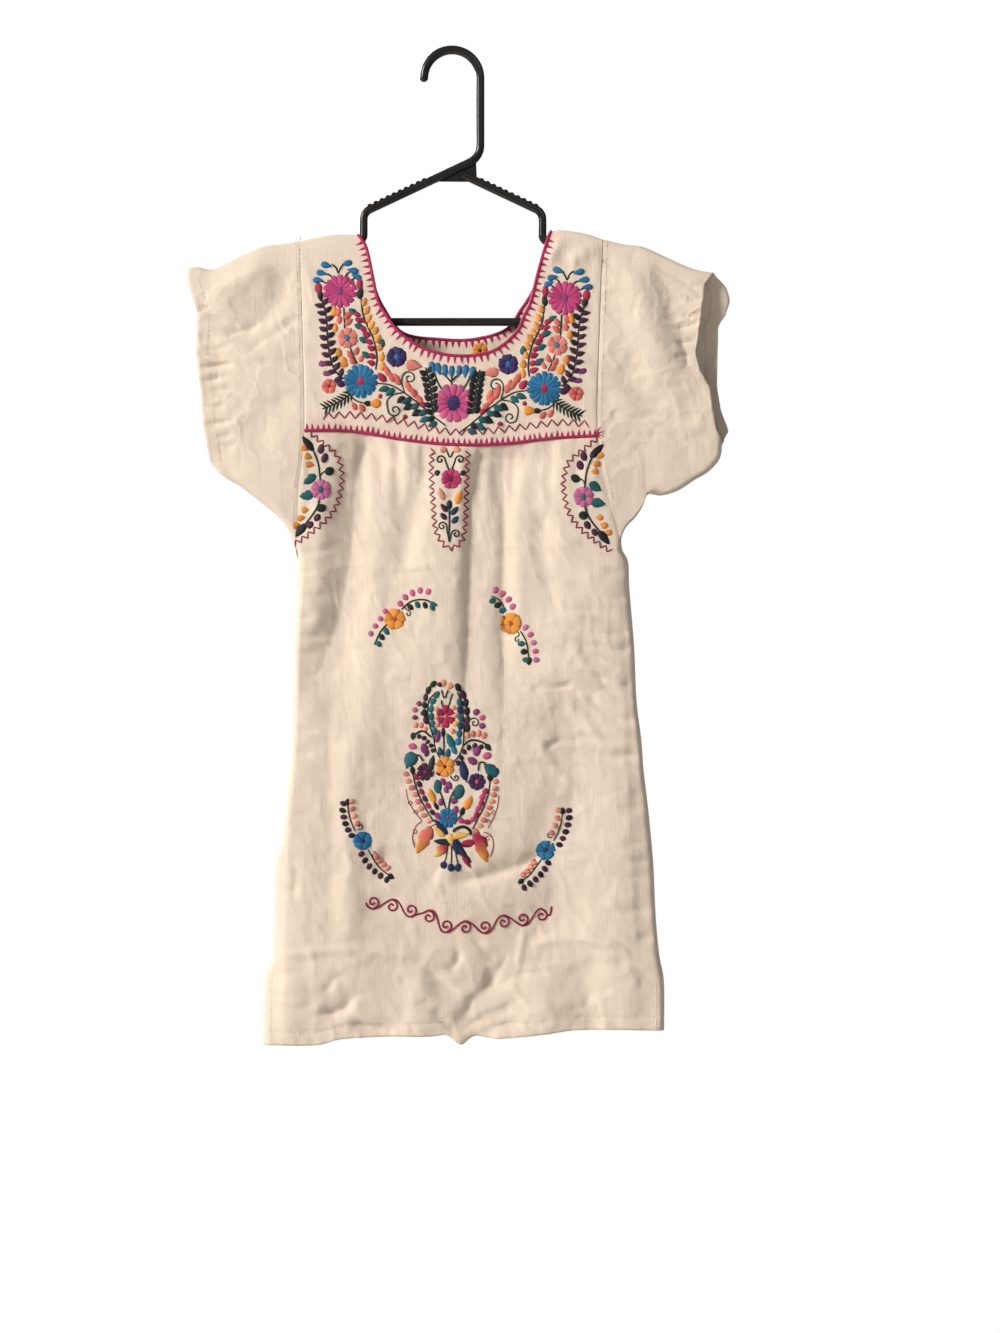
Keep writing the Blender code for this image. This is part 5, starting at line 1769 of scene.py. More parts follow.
BOUQUET = (
    Stem(((-15, -573.5), (-17.5, -566), (-19.5, -558), (-20, -549.5), (-18.5, -542), (-12.5, -535.5)), 1.3),
    Beads(((-21.5, -559.5), (-22.5, -551), (-22, -542), (-19.5, -534.5), (-15, -529), (-9, -529.5)), 7, 5.4,
        3.8, 10, (T.PLUM, T.BLACK, T.STEM)),
    Beads(((-14, -568.5), (-16, -561), (-17, -552.5), (-16, -545), (-12.5, -538)), 6, 5.4, 4, -10,
        (T.TEAL,)),
    Stem(((9, -583), (10, -574.5), (10, -564.5), (9.5, -552.5), (8.5, -544.5), (4.5, -535.5)), 1.3),
    Beads(((13, -566), (13, -557), (12.5, -549.5), (10.5, -540), (5.5, -532)), 6, 6.4, 4.4, -8, (T.BLACK,
        T.PLUM, T.BLACK)),
    Beads(((6.5, -570.5), (7.5, -561), (7, -552.5), (6.5, -544.5)), 5, 6, 4, 5, (T.TEAL, T.NAVY)),
    Flower(-5, -556, 7, 6, T.CRIMSON, T.SALMON, 1.8, stretch=1.35),
    Stem(((-8.5, -534), (-6, -541), (-3, -534))), Stem(((0.5, -537), (-1, -542.5), (-2.5, -547.5))),
    Stem(((-8.5, -542.5), (-8, -547.5))),
    *rows_of(Satin.OVAL, T.PEACH, (-7, -528.5, 5, 4.4, 80), (-1.5, -530.5, 4.8, 4.6, 0)),
    Beads(((-12.5, -550), (-12.5, -556.5), (-12, -563.5)), 3, 4, 3.4, 90, (T.PEACH,)),
    Beads(((1.5, -549), (3, -554.5), (3, -563), (1, -568.5)), 4, 4.2, 3.8, 90, (T.PEACH, T.PEACH, T.GOLD)),
    Stem(((-7, -567), (-6.5, -578), (-6.5, -589.5)), 1.3),
    Leaf(-7, -569.5, 6.8, 3, -90, T.BLACK, Satin.OVAL),
    *rows_of(Satin.LEAF, T.PURPLE, (-11.5, -572.5, 9.4, 4.4, 75)),
    *rows_of(Satin.LEAF, T.TEAL, (-1, -576.5, 11.4, 4.8, 118), (-9.5, -585, 6.4, 4, 110),
        (-3, -586.5, 7, 4.2, 90)),
    *rows_of(Satin.OVAL, T.BLUE, (5.5, -577, 5.4, 4.6, 60), (2, -584, 6.6, 4, 110)),
    Stem(((9, -581.5), (6, -589), (1, -594.5)), 1.2),
    Stem(((-15, -573.5), (-13.5, -583), (-10, -590.5)), 1.2),
    Curl(-24, -554, 3.2, -20, 0.95, ((-20, -561), (-20.5, -557)), 1),
    Curl(19, -561.5, 4.6, 150, -1.2, ((10.5, -561), (12.5, -558.5)), 1.2),
    Beads(((-27, -545.5), (-30.5, -550.5), (-30.5, -557)), 3, 4.2, 3.8, 90, (T.PURPLE, T.ROSE)),
    Beads(((20.5, -552.5), (25.5, -557), (25.5, -564)), 3, 4.8, 4.2, 90, (T.PURPLE, T.ROSE)),
    Beads(((-30, -563.5), (-25, -563.5), (-22, -566.5)), 3, 4.2, 4, 90, (T.PEACH, T.SALMON)),
    Beads(((13, -571.5), (17.5, -570.5), (22, -570), (27, -572)), 4, 4.8, 4.2, 90, (T.PEACH, T.SALMON)),
    Stem(((-17, -573.5), (-22, -569), (-26.5, -568.5), (-31, -571.5)), 1.8, T.STEM),
    Leaf(-32, -572.5, 5.4, 4.2, 250, T.STEM),
    Beads(((-27, -573), (-23.5, -573.5), (-21, -576.5), (-17.5, -579.5), (-15.5, -584.5)), 5, 3.8, 3.2, 60,
        (T.PLUM, T.BLACK)),
    Stem(((9.5, -580.5), (14.5, -576.5), (20, -576), (27, -578.5), (31, -582.5)), 1.8, T.STEM),
    Leaf(30.5, -582, 5.6, 4, -50, T.STEM),
    Beads(((5.5, -595), (9, -588.5), (12, -583.5), (15.5, -581.5), (19.5, -580.5), (24.5, -581.5)), 6, 4.2,
        3.6, 60, (T.PLUM, T.BLACK)),
    Leaf(-32.5, -581, 6.2, 4.4, 170, T.ROSE, Satin.OVAL),
    Leaf(-22.5, -583, 7.6, 5.2, 110, T.PURPLE, Satin.OVAL),
    Leaf(29.5, -589, 6.4, 4.8, 10, T.ROSE, Satin.OVAL), Leaf(21, -585, 7.4, 5.6, 80, T.PURPLE, Satin.OVAL),
    Leaf(17, -593, 7.4, 5.4, 150, T.PURPLE), Leaf(-20.5, -587, 5, 3, 60, T.PLUM),
    Leaf(-34.5, -593, 12, 9.6, 60, T.TEAL, Satin.DROP),
    Leaf(32.5, -600.5, 12, 9.4, -40, T.TEAL, Satin.DROP), Stem(((-30, -588), (-26.5, -589), (-24, -593.5))),
    Stem(((28.5, -595), (23.5, -594.5), (22, -601.5))),
    Flower(-22.5, -602.5, 6.2, 7, T.PLUM, T.PURPLE, 1.6, stretch=1.2),
    Flower(21, -610.5, 7, 8, T.PLUM, T.ROSE, 1.7, T.INDIGO), Leaf(-16.5, -595, 12, 4.6, 82, T.STEM),
    Leaf(10, -600.5, 15, 5.8, 100, T.NAVY), Stem(((-15, -601.5), (-16, -605.5), (-19.5, -606.5))),
    Stem(((10.5, -606.5), (12.5, -610.5), (14.5, -611.5))),
    Flower(-5.5, -598, 7.6, 6, T.ORANGE, T.BLACK, 1.5, stretch=1.1),
    Curl(3.5, -607, 3.1, 190, 1.2, ((-1.5, -605), (0, -607.5)), 1.2), Leaf(-11, -604, 4, 2.4, -40, T.STEM),
    Stem(((-10, -618), (-7, -626), (-5, -632.5))), Stem(((2.5, -618), (-1, -624), (-2.5, -632.5))),
    Leaf(-11.5, -614.5, 9.4, 5.4, 95, T.TEAL, Satin.OVAL), Leaf(6, -619, 11.4, 8, 70, T.TEAL, Satin.OVAL),
    *rows_of(Satin.OVAL, T.PURPLE, (-7, -610.5, 5.4, 3.8, 110), (-2, -613.5, 6, 4, 110),
        (-4.5, -617, 5.4, 3.6, 100), (2, -626.5, 5, 4.4, 0), (3.5, -634, 5.6, 4.4, 90),
        (-9, -627.5, 5, 3.6, 90), (-11.5, -639, 5.4, 4, 130)),
    Leaf(-16.5, -622, 11, 4.8, 112, T.ORANGE), Leaf(14, -628, 10.6, 6, 60, T.ORANGE),
    Leaf(-13, -630.5, 6.4, 3.2, 120, T.BLACK), Leaf(9, -635, 6, 4, 75, T.BLACK),
    Stem(((8.5, -636.5), (6, -641), (2.5, -643.5))),
    Flower(-3, -640.5, 7.6, 9, T.BLUE, T.PURPLE, 1.8, stretch=1.1),
    Stem(((-32.5, -603), (-30.5, -612), (-26, -624.5), (-19.5, -636.5), (-14.5, -644)), 1.3),
    Leaf(-32.5, -601, 6, 3.6, 100, T.BLACK, Satin.OVAL),
    Beads(((-29.5, -606.5), (-27, -612), (-25, -618.5), (-22, -625), (-19.5, -630.5), (-16, -636)), 6, 5,
        3.6, 10, (T.CRIMSON, T.PLUM)),
    Beads(((-38, -604), (-36.5, -608.5), (-33.5, -614.5), (-30.5, -621), (-28, -627), (-25.5, -633.5),
        (-22.5, -639), (-18.5, -643)), 8, 4.6, 3.8, 60, (T.SALMON, T.PEACH)),
    Stem(((32, -608), (31, -618.5), (26.5, -632), (21, -642.5), (17.5, -650)), 1.3),
    Leaf(32, -607, 5.6, 4, 95, T.BLACK, Satin.OVAL),
    Beads(((28, -618.5), (25.5, -623.5), (24.5, -629), (21.5, -634), (20, -639), (14.5, -644), (8, -643)),
        8, 5.2, 3.8, -10, (T.CRIMSON, T.MAGENTA)),
    Beads(((37, -610.5), (36, -617.5), (34, -625), (32, -631), (29.5, -636.5), (27, -641.5), (24, -647),
        (20, -651.5)), 9, 4.6, 3.8, -60, (T.SALMON, T.PEACH)),
    Stem(((-38, -616.5), (-36, -626.5), (-30, -636.5), (-25, -643), (-29.5, -647), (-32.5, -656),
        (-31, -665)), 0.9, T.VINE),
    Curl(-34, -628.5, 2.3, 200, -1, (), 0.8, T.VINE), Curl(-29.5, -636, 2.3, 200, -1, (), 0.8, T.VINE),
    Curl(-30.5, -652.5, 2.4, 140, -1, (), 0.8, T.VINE),
    Stem(((39.5, -622), (38, -632), (34.5, -641), (30.5, -649)), 0.9, T.VINE),
    Stem(((26.5, -652.5), (32.5, -655), (35, -663.5), (32, -673.5)), 0.9, T.VINE),
    Curl(34.5, -636.5, 2.4, -20, 1, (), 0.8, T.VINE), Curl(30.5, -658, 2.6, 40, 1, (), 0.8, T.VINE),
    Curl(30, -643.5, 2, -20, 1, (), 0.8, T.VINE),
    Leaf(-23, -659, 22, 9.4, 246, T.CORAL, Satin.LEAF, T.ORANGE),
    Leaf(25, -665, 24, 9.4, -72, T.CRIMSON, Satin.LEAF, T.ORANGE),
    Stem(((-20, -650), (-17, -647.5), (-12.5, -645.5)), 0.9, T.VINE),
    Leaf(-9, -668, 13, 7, 222, T.CRIMSON, Satin.LEAF, T.GOLD), Leaf(-7, -661, 13, 5.4, 170, T.STEM),
    Leaf(-10.5, -652, 10, 5, 140, T.GOLD), Leaf(-9, -648, 14, 4.6, 128, T.NAVY),
    Leaf(7, -655.5, 13, 4.8, 10, T.GOLD), Leaf(-0.5, -659, 9, 5.4, 90, T.GOLD, Satin.OVAL),
    Stem(((1, -652), (5, -649), (10.5, -648), (15, -651), (16, -655)), 2.6, T.BLACK),
    Leaf(13.5, -662, 11, 5.6, 12, T.CRIMSON, Satin.OVAL),
    Stem(((3.5, -658.5), (8.5, -663), (15, -664.5)), 2, T.BLACK), Leaf(6.5, -666.5, 18, 5, -52, T.NAVY),
    Leaf(10.5, -671.5, 15, 4.4, -44, T.PLUM), Leaf(12.5, -677, 11, 4, -55, T.VINE),
    Leaf(3, -665, 12, 4.4, -70, T.NAVY), Stem(((-3.5, -660), (-4, -670.5), (-6, -678)), 1.2),
    Stem(((-0.5, -660), (0, -670.5), (-0.5, -678.5)), 1.2),
    Stem(((2.5, -662), (3.5, -670.5), (5, -678.5)), 1.2),
    *rows_of(Satin.OVAL, T.NAVY, (-6.5, -680, 5.4, 5, 90), (-0.5, -682, 5.8, 4.8, 90),
        (5.5, -682, 5.6, 5, 90)),
)

LOWER_ARCS = (
    Flower(-74, -659.5, 7.4, 5, T.BLUE, T.NAVY, 2.2),
    Stem(((-80, -651.5), (-83.5, -643.5), (-85.5, -636), (-86.5, -627.5)), 1.2),
    Stem(((-69.5, -667), (-64.5, -676), (-59, -683), (-50.5, -689.5)), 1.2),
    Beads(((-83, -655), (-87, -648.5), (-89, -642), (-90.5, -634.5), (-90, -628.5)), 6, 4.8, 3.8, 70,
        (T.BLACK, T.PLUM)),
    Beads(((-78.5, -645), (-81, -639), (-82.5, -632.5), (-83, -626.5)), 4, 4.6, 3.8, -70, (T.SALMON,
        T.PEACH)),
    Beads(((-75, -670.5), (-71, -677.5), (-66.5, -683), (-61, -687.5), (-54, -692)), 6, 4.8, 3.8, -80,
        (T.PLUM, T.BLACK)),
    Beads(((-62.5, -673), (-58.5, -678), (-53.5, -682.5)), 4, 4.6, 3.8, 70, (T.SALMON, T.PEACH)),
    Curl(-76, -647.5, 2.9, 220, 1, (), 1), Curl(-65, -671.5, 2.9, 100, -1.1, (), 1),
    Leaf(-86.5, -627, 5, 4, 90, T.BLACK), Leaf(-50.5, -689.5, 5, 4, -35, T.BLACK),
    Flower(78.5, -668, 7.8, 5, T.BLUE, T.NAVY, 2.2),
    Stem(((85, -660), (89, -652.5), (91.5, -644.5), (92.5, -636)), 1.2),
    Stem(((75, -675.5), (69.5, -683), (64.5, -689), (57.5, -694)), 1.2),
    Beads(((90, -663.5), (94, -655.5), (96.5, -648.5), (98, -641.5), (98, -635)), 6, 4.8, 3.8, -70,
        (T.BLACK, T.PLUM)),
    Beads(((83.5, -653.5), (86.5, -647.5), (88.5, -641.5), (89, -634.5)), 4, 4.6, 3.8, 70, (T.SALMON,
        T.PEACH)),
    Beads(((80.5, -678.5), (77, -685), (72, -690.5), (66.5, -695), (60.5, -699)), 6, 4.8, 3.8, 80, (T.BLACK,
        T.PLUM)),
    Beads(((68.5, -678.5), (64.5, -684), (59.5, -688.5)), 4, 4.6, 3.8, -70, (T.SALMON, T.PEACH)),
    Curl(82, -655, 2.9, -40, -1, (), 1), Curl(69.5, -678.5, 2.9, 80, 1.1, (), 1),
    Leaf(92.5, -635, 5, 4, 90, T.BLACK), Leaf(57.5, -694, 5, 4, 215, T.BLACK),
)

SCROLL = (
    (-65.5, -710.5), (-51, -714), (-38, -715.5), (-26, -721.5), (-13.5, -725), (-2.5, -731), (13.5, -732.5),
    (29.5, -731), (44, -728), (61, -725), (75, -723),
)


@dataclass
class Embroidery:
    """All the needlework of the dress, in pieces that follow its panels.

    Attributes:
        form: The dress's surface.
        thread: The threads' finish.
        inner_face: Where the cloth's inner face lies from its outer one.
        hem_lift: How far the hems' running stitches lie over the cloth.
        hem_inset: Distance of the running stitches from a cuff's edge.
        FRONT_ZIGZAG: The zigzag over the front yoke's seam.
        BACK_ZIGZAG: The zigzag over the back yoke's seam.
        BACK_ROW: The flowers' places on the back yoke.
        BENDS: Bends of the vine above the hem.
    """

    FRONT_ZIGZAG = (
        (-107.5, -305.5), (-85.5, -304.5), (-62, -306.5), (-35.5, -311.5), (-1, -318.5), (32, -317.5),
        (65.5, -313.5), (90.5, -310.5), (115, -312),
    )
    BACK_ZIGZAG = ((-112, -306), (-60, -308), (0, -316), (60, -314), (112, -309))
    BACK_ROW = ((-92, -285), (-60, -287), (-28, -291), (2, -292), (32, -291), (62, -288), (92, -286))
    BENDS = 10

    form: DressForm
    thread: Finish
    inner_face: float = -0.66
    hem_lift: float = 0.03
    hem_inset: float = 9.5

    def needlework(self, name: str, side: Side, seed: int) -> Stitcher:
        """An empty piece of needlework on a wall's outer face."""
        return Stitcher(name, self.form.skin(side, CLEARANCE), side.value, seed)

    def stitch(self, work: Stitcher, motifs: Sequence[Motif], mirrored: bool = False) -> None:
        """Adds a table of motifs, as they are or on the other half of the dress.

        Args:
            work: The needlework that they are added to.
            motifs: The motifs.
            mirrored: Whether they go on the other half.
        """
        work.mirrored = mirrored
        for motif in motifs:
            motif.stitch(work)
        work.mirrored = False

    def yoke_front(self) -> bpy.types.Object:
        """The yoke's flowers: a strap's, its mirror, and the group under the neck.

        Returns:
            The piece.
        """
        work = self.needlework("yoke_embroidery", Side.FRONT, 21)
        self.stitch(work, STRAP)
        self.stitch(work, STRAP, mirrored=True)
        self.stitch(work, CENTRE)
        Zigzag(self.FRONT_ZIGZAG, 9.0, 5.8).stitch(work)
        return work.finish(self.thread)

    def body_front(self) -> bpy.types.Object:
        """The motifs of the front panel.

        Returns:
            The piece.
        """
        work = self.needlework("body_embroidery", Side.FRONT, 22)
        self.stitch(work, HALF_OVAL + TONGUE + UPPER_ARCS + BOUQUET + LOWER_ARCS)
        self.stitch(work, HALF_OVAL, mirrored=True)
        self.scroll(work)
        return work.finish(self.thread)

    def scroll(self, work: Stitcher) -> None:
        """The running vine above the hem: a waving stem with a spiral in each of its bends.

        Args:
            work: The needlework that it is added to.
        """
        path = Line(SCROLL)
        wave = []
        for number in range(self.BENDS):
            x, z, _ = path.spot(path.length * number / (self.BENDS - 1))
            hand = 1 if number % 2 == 0 else -1
            wave += [(x - 4.4, z - 3.6 * hand), (x + 0.4, z - 5.8 * hand), (x + 5.6, z - 3.6 * hand)]
            Curl(x, z, 5.6, 262 if hand > 0 else 98, 1.25 * hand, (), 1.7, Thread.VINE).stitch(work)
        first = (wave[0][0] - 1.6, wave[0][1] + 3.4)
        Stem((first, *wave[:-1], (81.5, -723), (83.5, -715)), 1.7, Thread.VINE).stitch(work)

    def edgings(self) -> list[bpy.types.Object]:
        """Blanket stitch along the necks, on the back's inner face and on the yoke's seam.

        Returns:
            The pieces.
        """
        made = []
        necks = (
            ("front_neck_stitching", Side.FRONT, 23, FRONT_NECK),
            ("back_neck_stitching", Side.BACK, 24, BACK_NECK),
        )
        for name, side, seed, neck in necks:
            work = self.needlework(name, side, seed)
            Blanket(neck[0] + neck[1][1:] + neck[2][1:], -1, over=True).stitch(work)
            made.append(work.finish(self.thread))
        work = Stitcher("back_neck_inner_stitching", self.form.skin(Side.BACK, self.inner_face), -1, 25)
        Blanket(BACK_NECK[1], -1, cord=1.4, whole=False).stitch(work)
        Flower(23.5, -248.5, 6.4, 6, T.ORANGE, T.STEM, 1.6).stitch(work)
        made.append(work.finish(self.thread))
        seam = tuple((x, z - 0.6) for x, z in YOKE_SEAM)
        seams = (("yoke_seam_stitching", Side.FRONT, 26), ("back_seam_stitching", Side.BACK, 27))
        for name, side, seed in seams:
            work = self.needlework(name, side, seed)
            Blanket(seam, 1, 4.6, 5.6, 2.7, False).stitch(work)
            for angle in (20, 65, -20, -50):
                work.pad(*beside(121, -320, angle, 3), 6.5, 1.3, angle, T.SEAM, Satin.TOOTH, rise=0.6)
            made.append(work.finish(self.thread))
        return made

    def hems(self) -> list[bpy.types.Object]:
        """The cream machine stitching along hems, cuffs, slits and shoulder seams.

        Returns:
            The front's piece and the back's.
        """
        form = self.form
        front = Stitcher("hem_stitching", form.skin(Side.FRONT, self.hem_lift), -1, 31)
        back = Stitcher("back_hem_stitching", form.skin(Side.BACK, self.hem_lift), 1, 32)
        hem = ((-150, -819), *((x, z + form.hem_band) for x, z in HEM[1:-1]), (170, -808))
        Running(hem).stitch(front)
        Running(tuple((x, z + 4) for x, z in hem)).stitch(back)
        for work in (front, back):
            Running(form.inset(LEFT_SIDE[-3:], 7.5)).stitch(work)
            Running(form.inset(RIGHT_SIDE[-2:], -7.5)).stitch(work)
            Running(form.inset(LEFT_ARMHOLE[:4], -3.4)).stitch(work)
            Running(form.inset(RIGHT_ARMHOLE[:4], 3.4)).stitch(work)
            Running(tuple((x + self.hem_inset, z) for z, x in LEFT_CUFF[1:])).stitch(work)
        for work, cuff in ((front, RIGHT_CUFF_FRONT), (back, RIGHT_CUFF_BACK)):
            Running(tuple((x - self.hem_inset, z) for z, x in cuff[1:])).stitch(work)
        Running(((-127.5, -153), (-126.5, -190), (-125, -226), (-115, -226.5))).stitch(front)
        return [front.finish(self.thread), back.finish(self.thread)]

    def yoke_back(self) -> bpy.types.Object:
        """A plain row of flowers and leaves on the back yoke.

        Returns:
            The piece.
        """
        work = self.needlework("back_yoke_embroidery", Side.BACK, 28)
        row = self.BACK_ROW
        Stem(row, 1.2).stitch(work)
        colours = (T.MAGENTA, T.ORANGE, T.BLUE, T.MAGENTA, T.BLUE, T.ORANGE, T.MAGENTA)
        for (x, z), colour in zip(row, colours):
            Flower(x, z, 8.5, 8, colour, T.PLUM, 2.3).stitch(work)
        for (x0, z0), (x1, z1) in zip(row, row[1:]):
            gap = tuple((x0 + (x1 - x0) * share, z0 + (z1 - z0) * share) for share in (0.3, 0.5, 0.7))
            Sprig(gap, 2, 6.4, 3.8, 55, (T.TEAL, T.PLUM), (T.CORAL, T.GOLD), 3.6, None).stitch(work)
        Zigzag(self.BACK_ZIGZAG, 9.0, 5.8).stitch(work)
        return work.finish(self.thread)


def tune(node: bpy.types.Node, **values: float | Sequence[float]) -> bpy.types.Node:
    """Sets inputs of a node.

    Args:
        node: The node.
        values: The inputs by name, with underscores for spaces.

    Returns:
        The node.
    """
    for name, value in values.items():
        node.inputs[name.replace("_", " ")].default_value = value
    return node


class NodeCanvas:
    """A node tree with short calls for making and joining nodes."""

    def __init__(self, tree: bpy.types.NodeTree) -> None:
        """Takes a node tree."""
        self.tree = tree

    def add(self, kind: str, **settings: object) -> bpy.types.Node:
        """Adds a node.

        Args:
            kind: Its type.
            settings: Its properties.

        Returns:
            The node.
        """
        node = self.tree.nodes.new(kind)
        for name, value in settings.items():
            setattr(node, name, value)
        return node

    def link(self, source: bpy.types.NodeSocket, target: bpy.types.NodeSocket) -> None:
        """Joins an output to an input."""
        self.tree.links.new(source, target)

    def feed(self, target: bpy.types.NodeSocket, value: object) -> None:
        """Fills an input.

        Args:
            target: The input.
            value: Another node's output, a number or a colour.
        """
        if isinstance(value, bpy.types.NodeSocket):
            self.link(value, target)
        else:
            target.default_value = value

    def math(self, operation: str, a: object, b: object = 0.0) -> bpy.types.NodeSocket:
        """A Math node.

        Args:
            operation: Its operation.
            a: Its first input: a socket or a number.
            b: Its second input.

        Returns:
            Its output.
        """
        node = self.add("ShaderNodeMath", operation=operation)
        self.feed(node.inputs[0], a)
        self.feed(node.inputs[1], b)
        return node.outputs[0]

    def shares(self, a: object, share_a: object, b: object, share_b: object) -> bpy.types.NodeSocket:
        """The sum of a and b, each times its share."""
        return self.math("ADD", self.math("MULTIPLY", a, share_a), self.math("MULTIPLY", b, share_b))

    def moved(self, a: object, times: float, plus: float) -> bpy.types.NodeSocket:
        """a times one number plus another one."""
        return self.math("ADD", self.math("MULTIPLY", a, times), plus)

    def placed(self, kind: str, vector: bpy.types.NodeSocket, **values: object) -> bpy.types.Node:
        """A node that reads a vector.

        Args:
            kind: Its type.
            vector: The vector.
            values: Its other inputs, with underscores for spaces.

        Returns:
            The node.
        """
        node = tune(self.add(kind), **values)
        self.link(vector, node.inputs["Vector"])
        return node

    def noise(self, vector: bpy.types.NodeSocket, scale: float, detail: float = 2.0) -> bpy.types.NodeSocket:
        """A Noise Texture's value."""
        return self.placed("ShaderNodeTexNoise", vector, Scale=scale, Detail=detail).outputs["Fac"]

    def scaled(self, vector: bpy.types.NodeSocket, size: tuple[float, float, float]) -> bpy.types.NodeSocket:
        """A vector times three numbers."""
        return self.placed("ShaderNodeMapping", vector, Scale=size).outputs["Vector"]

    def effect(self, group: bpy.types.NodeTree, place: bpy.types.NodeSocket,
               **values: float) -> bpy.types.Node:
        """Places a shared effect.

        Args:
            group: The effect.
            place: The place on the surface that it reads.
            values: Its other inputs, with underscores for spaces.

        Returns:
            The group's node.
        """
        node = tune(self.add("ShaderNodeGroup", node_tree=group), **values)
        self.link(place, node.inputs["Place"])
        return node

    def bump(self, height: bpy.types.NodeSocket, distance: float, strength: float,
             shader: bpy.types.Node) -> None:
        """Feeds a height to a shader's normal.

        Args:
            height: The height.
            distance: What a height of 1 stands for, in metres.
            strength: Strength of the effect.
            shader: The shader.
        """
        node = tune(self.add("ShaderNodeBump"), Distance=distance, Strength=strength)
        self.link(height, node.inputs["Height"])
        self.link(node.outputs["Normal"], shader.inputs["Normal"])

    def blend(self, share: object, a: object, b: object) -> bpy.types.NodeSocket:
        """A colour mix.

        Args:
            share: Share of b.
            a: A colour.
            b: A colour.

        Returns:
            The mixed colour.
        """
        node = self.add("ShaderNodeMix", data_type="RGBA")
        for number, value in ((0, share), (6, a), (7, b)):
            self.feed(node.inputs[number], value)
        return node.outputs[2]


def new_group(name: str, numbers: dict[str, float],
              outputs: Sequence[str]) -> tuple[bpy.types.NodeTree, NodeCanvas, Sockets, Sockets]:
    """A shader node group that reads a place and some numbers.

    Args:
        name: The group's name.
        numbers: Its inputs besides Place, with their usual values.
        outputs: The values that it puts out.

    Returns:
        The group, its canvas, its inputs as its nodes read them, and its outputs as they fill them.
    """
    tree = bpy.data.node_groups.new(name, "ShaderNodeTree")
    tree.interface.new_socket(name="Place", in_out="INPUT", socket_type="NodeSocketVector")
    for label, value in numbers.items():
        made = tree.interface.new_socket(name=label, in_out="INPUT", socket_type="NodeSocketFloat")
        made.default_value = value
    for label in outputs:
        tree.interface.new_socket(name=label, in_out="OUTPUT", socket_type="NodeSocketFloat")
    canvas = NodeCanvas(tree)
    return tree, canvas, canvas.add("NodeGroupInput").outputs, canvas.add("NodeGroupOutput").inputs


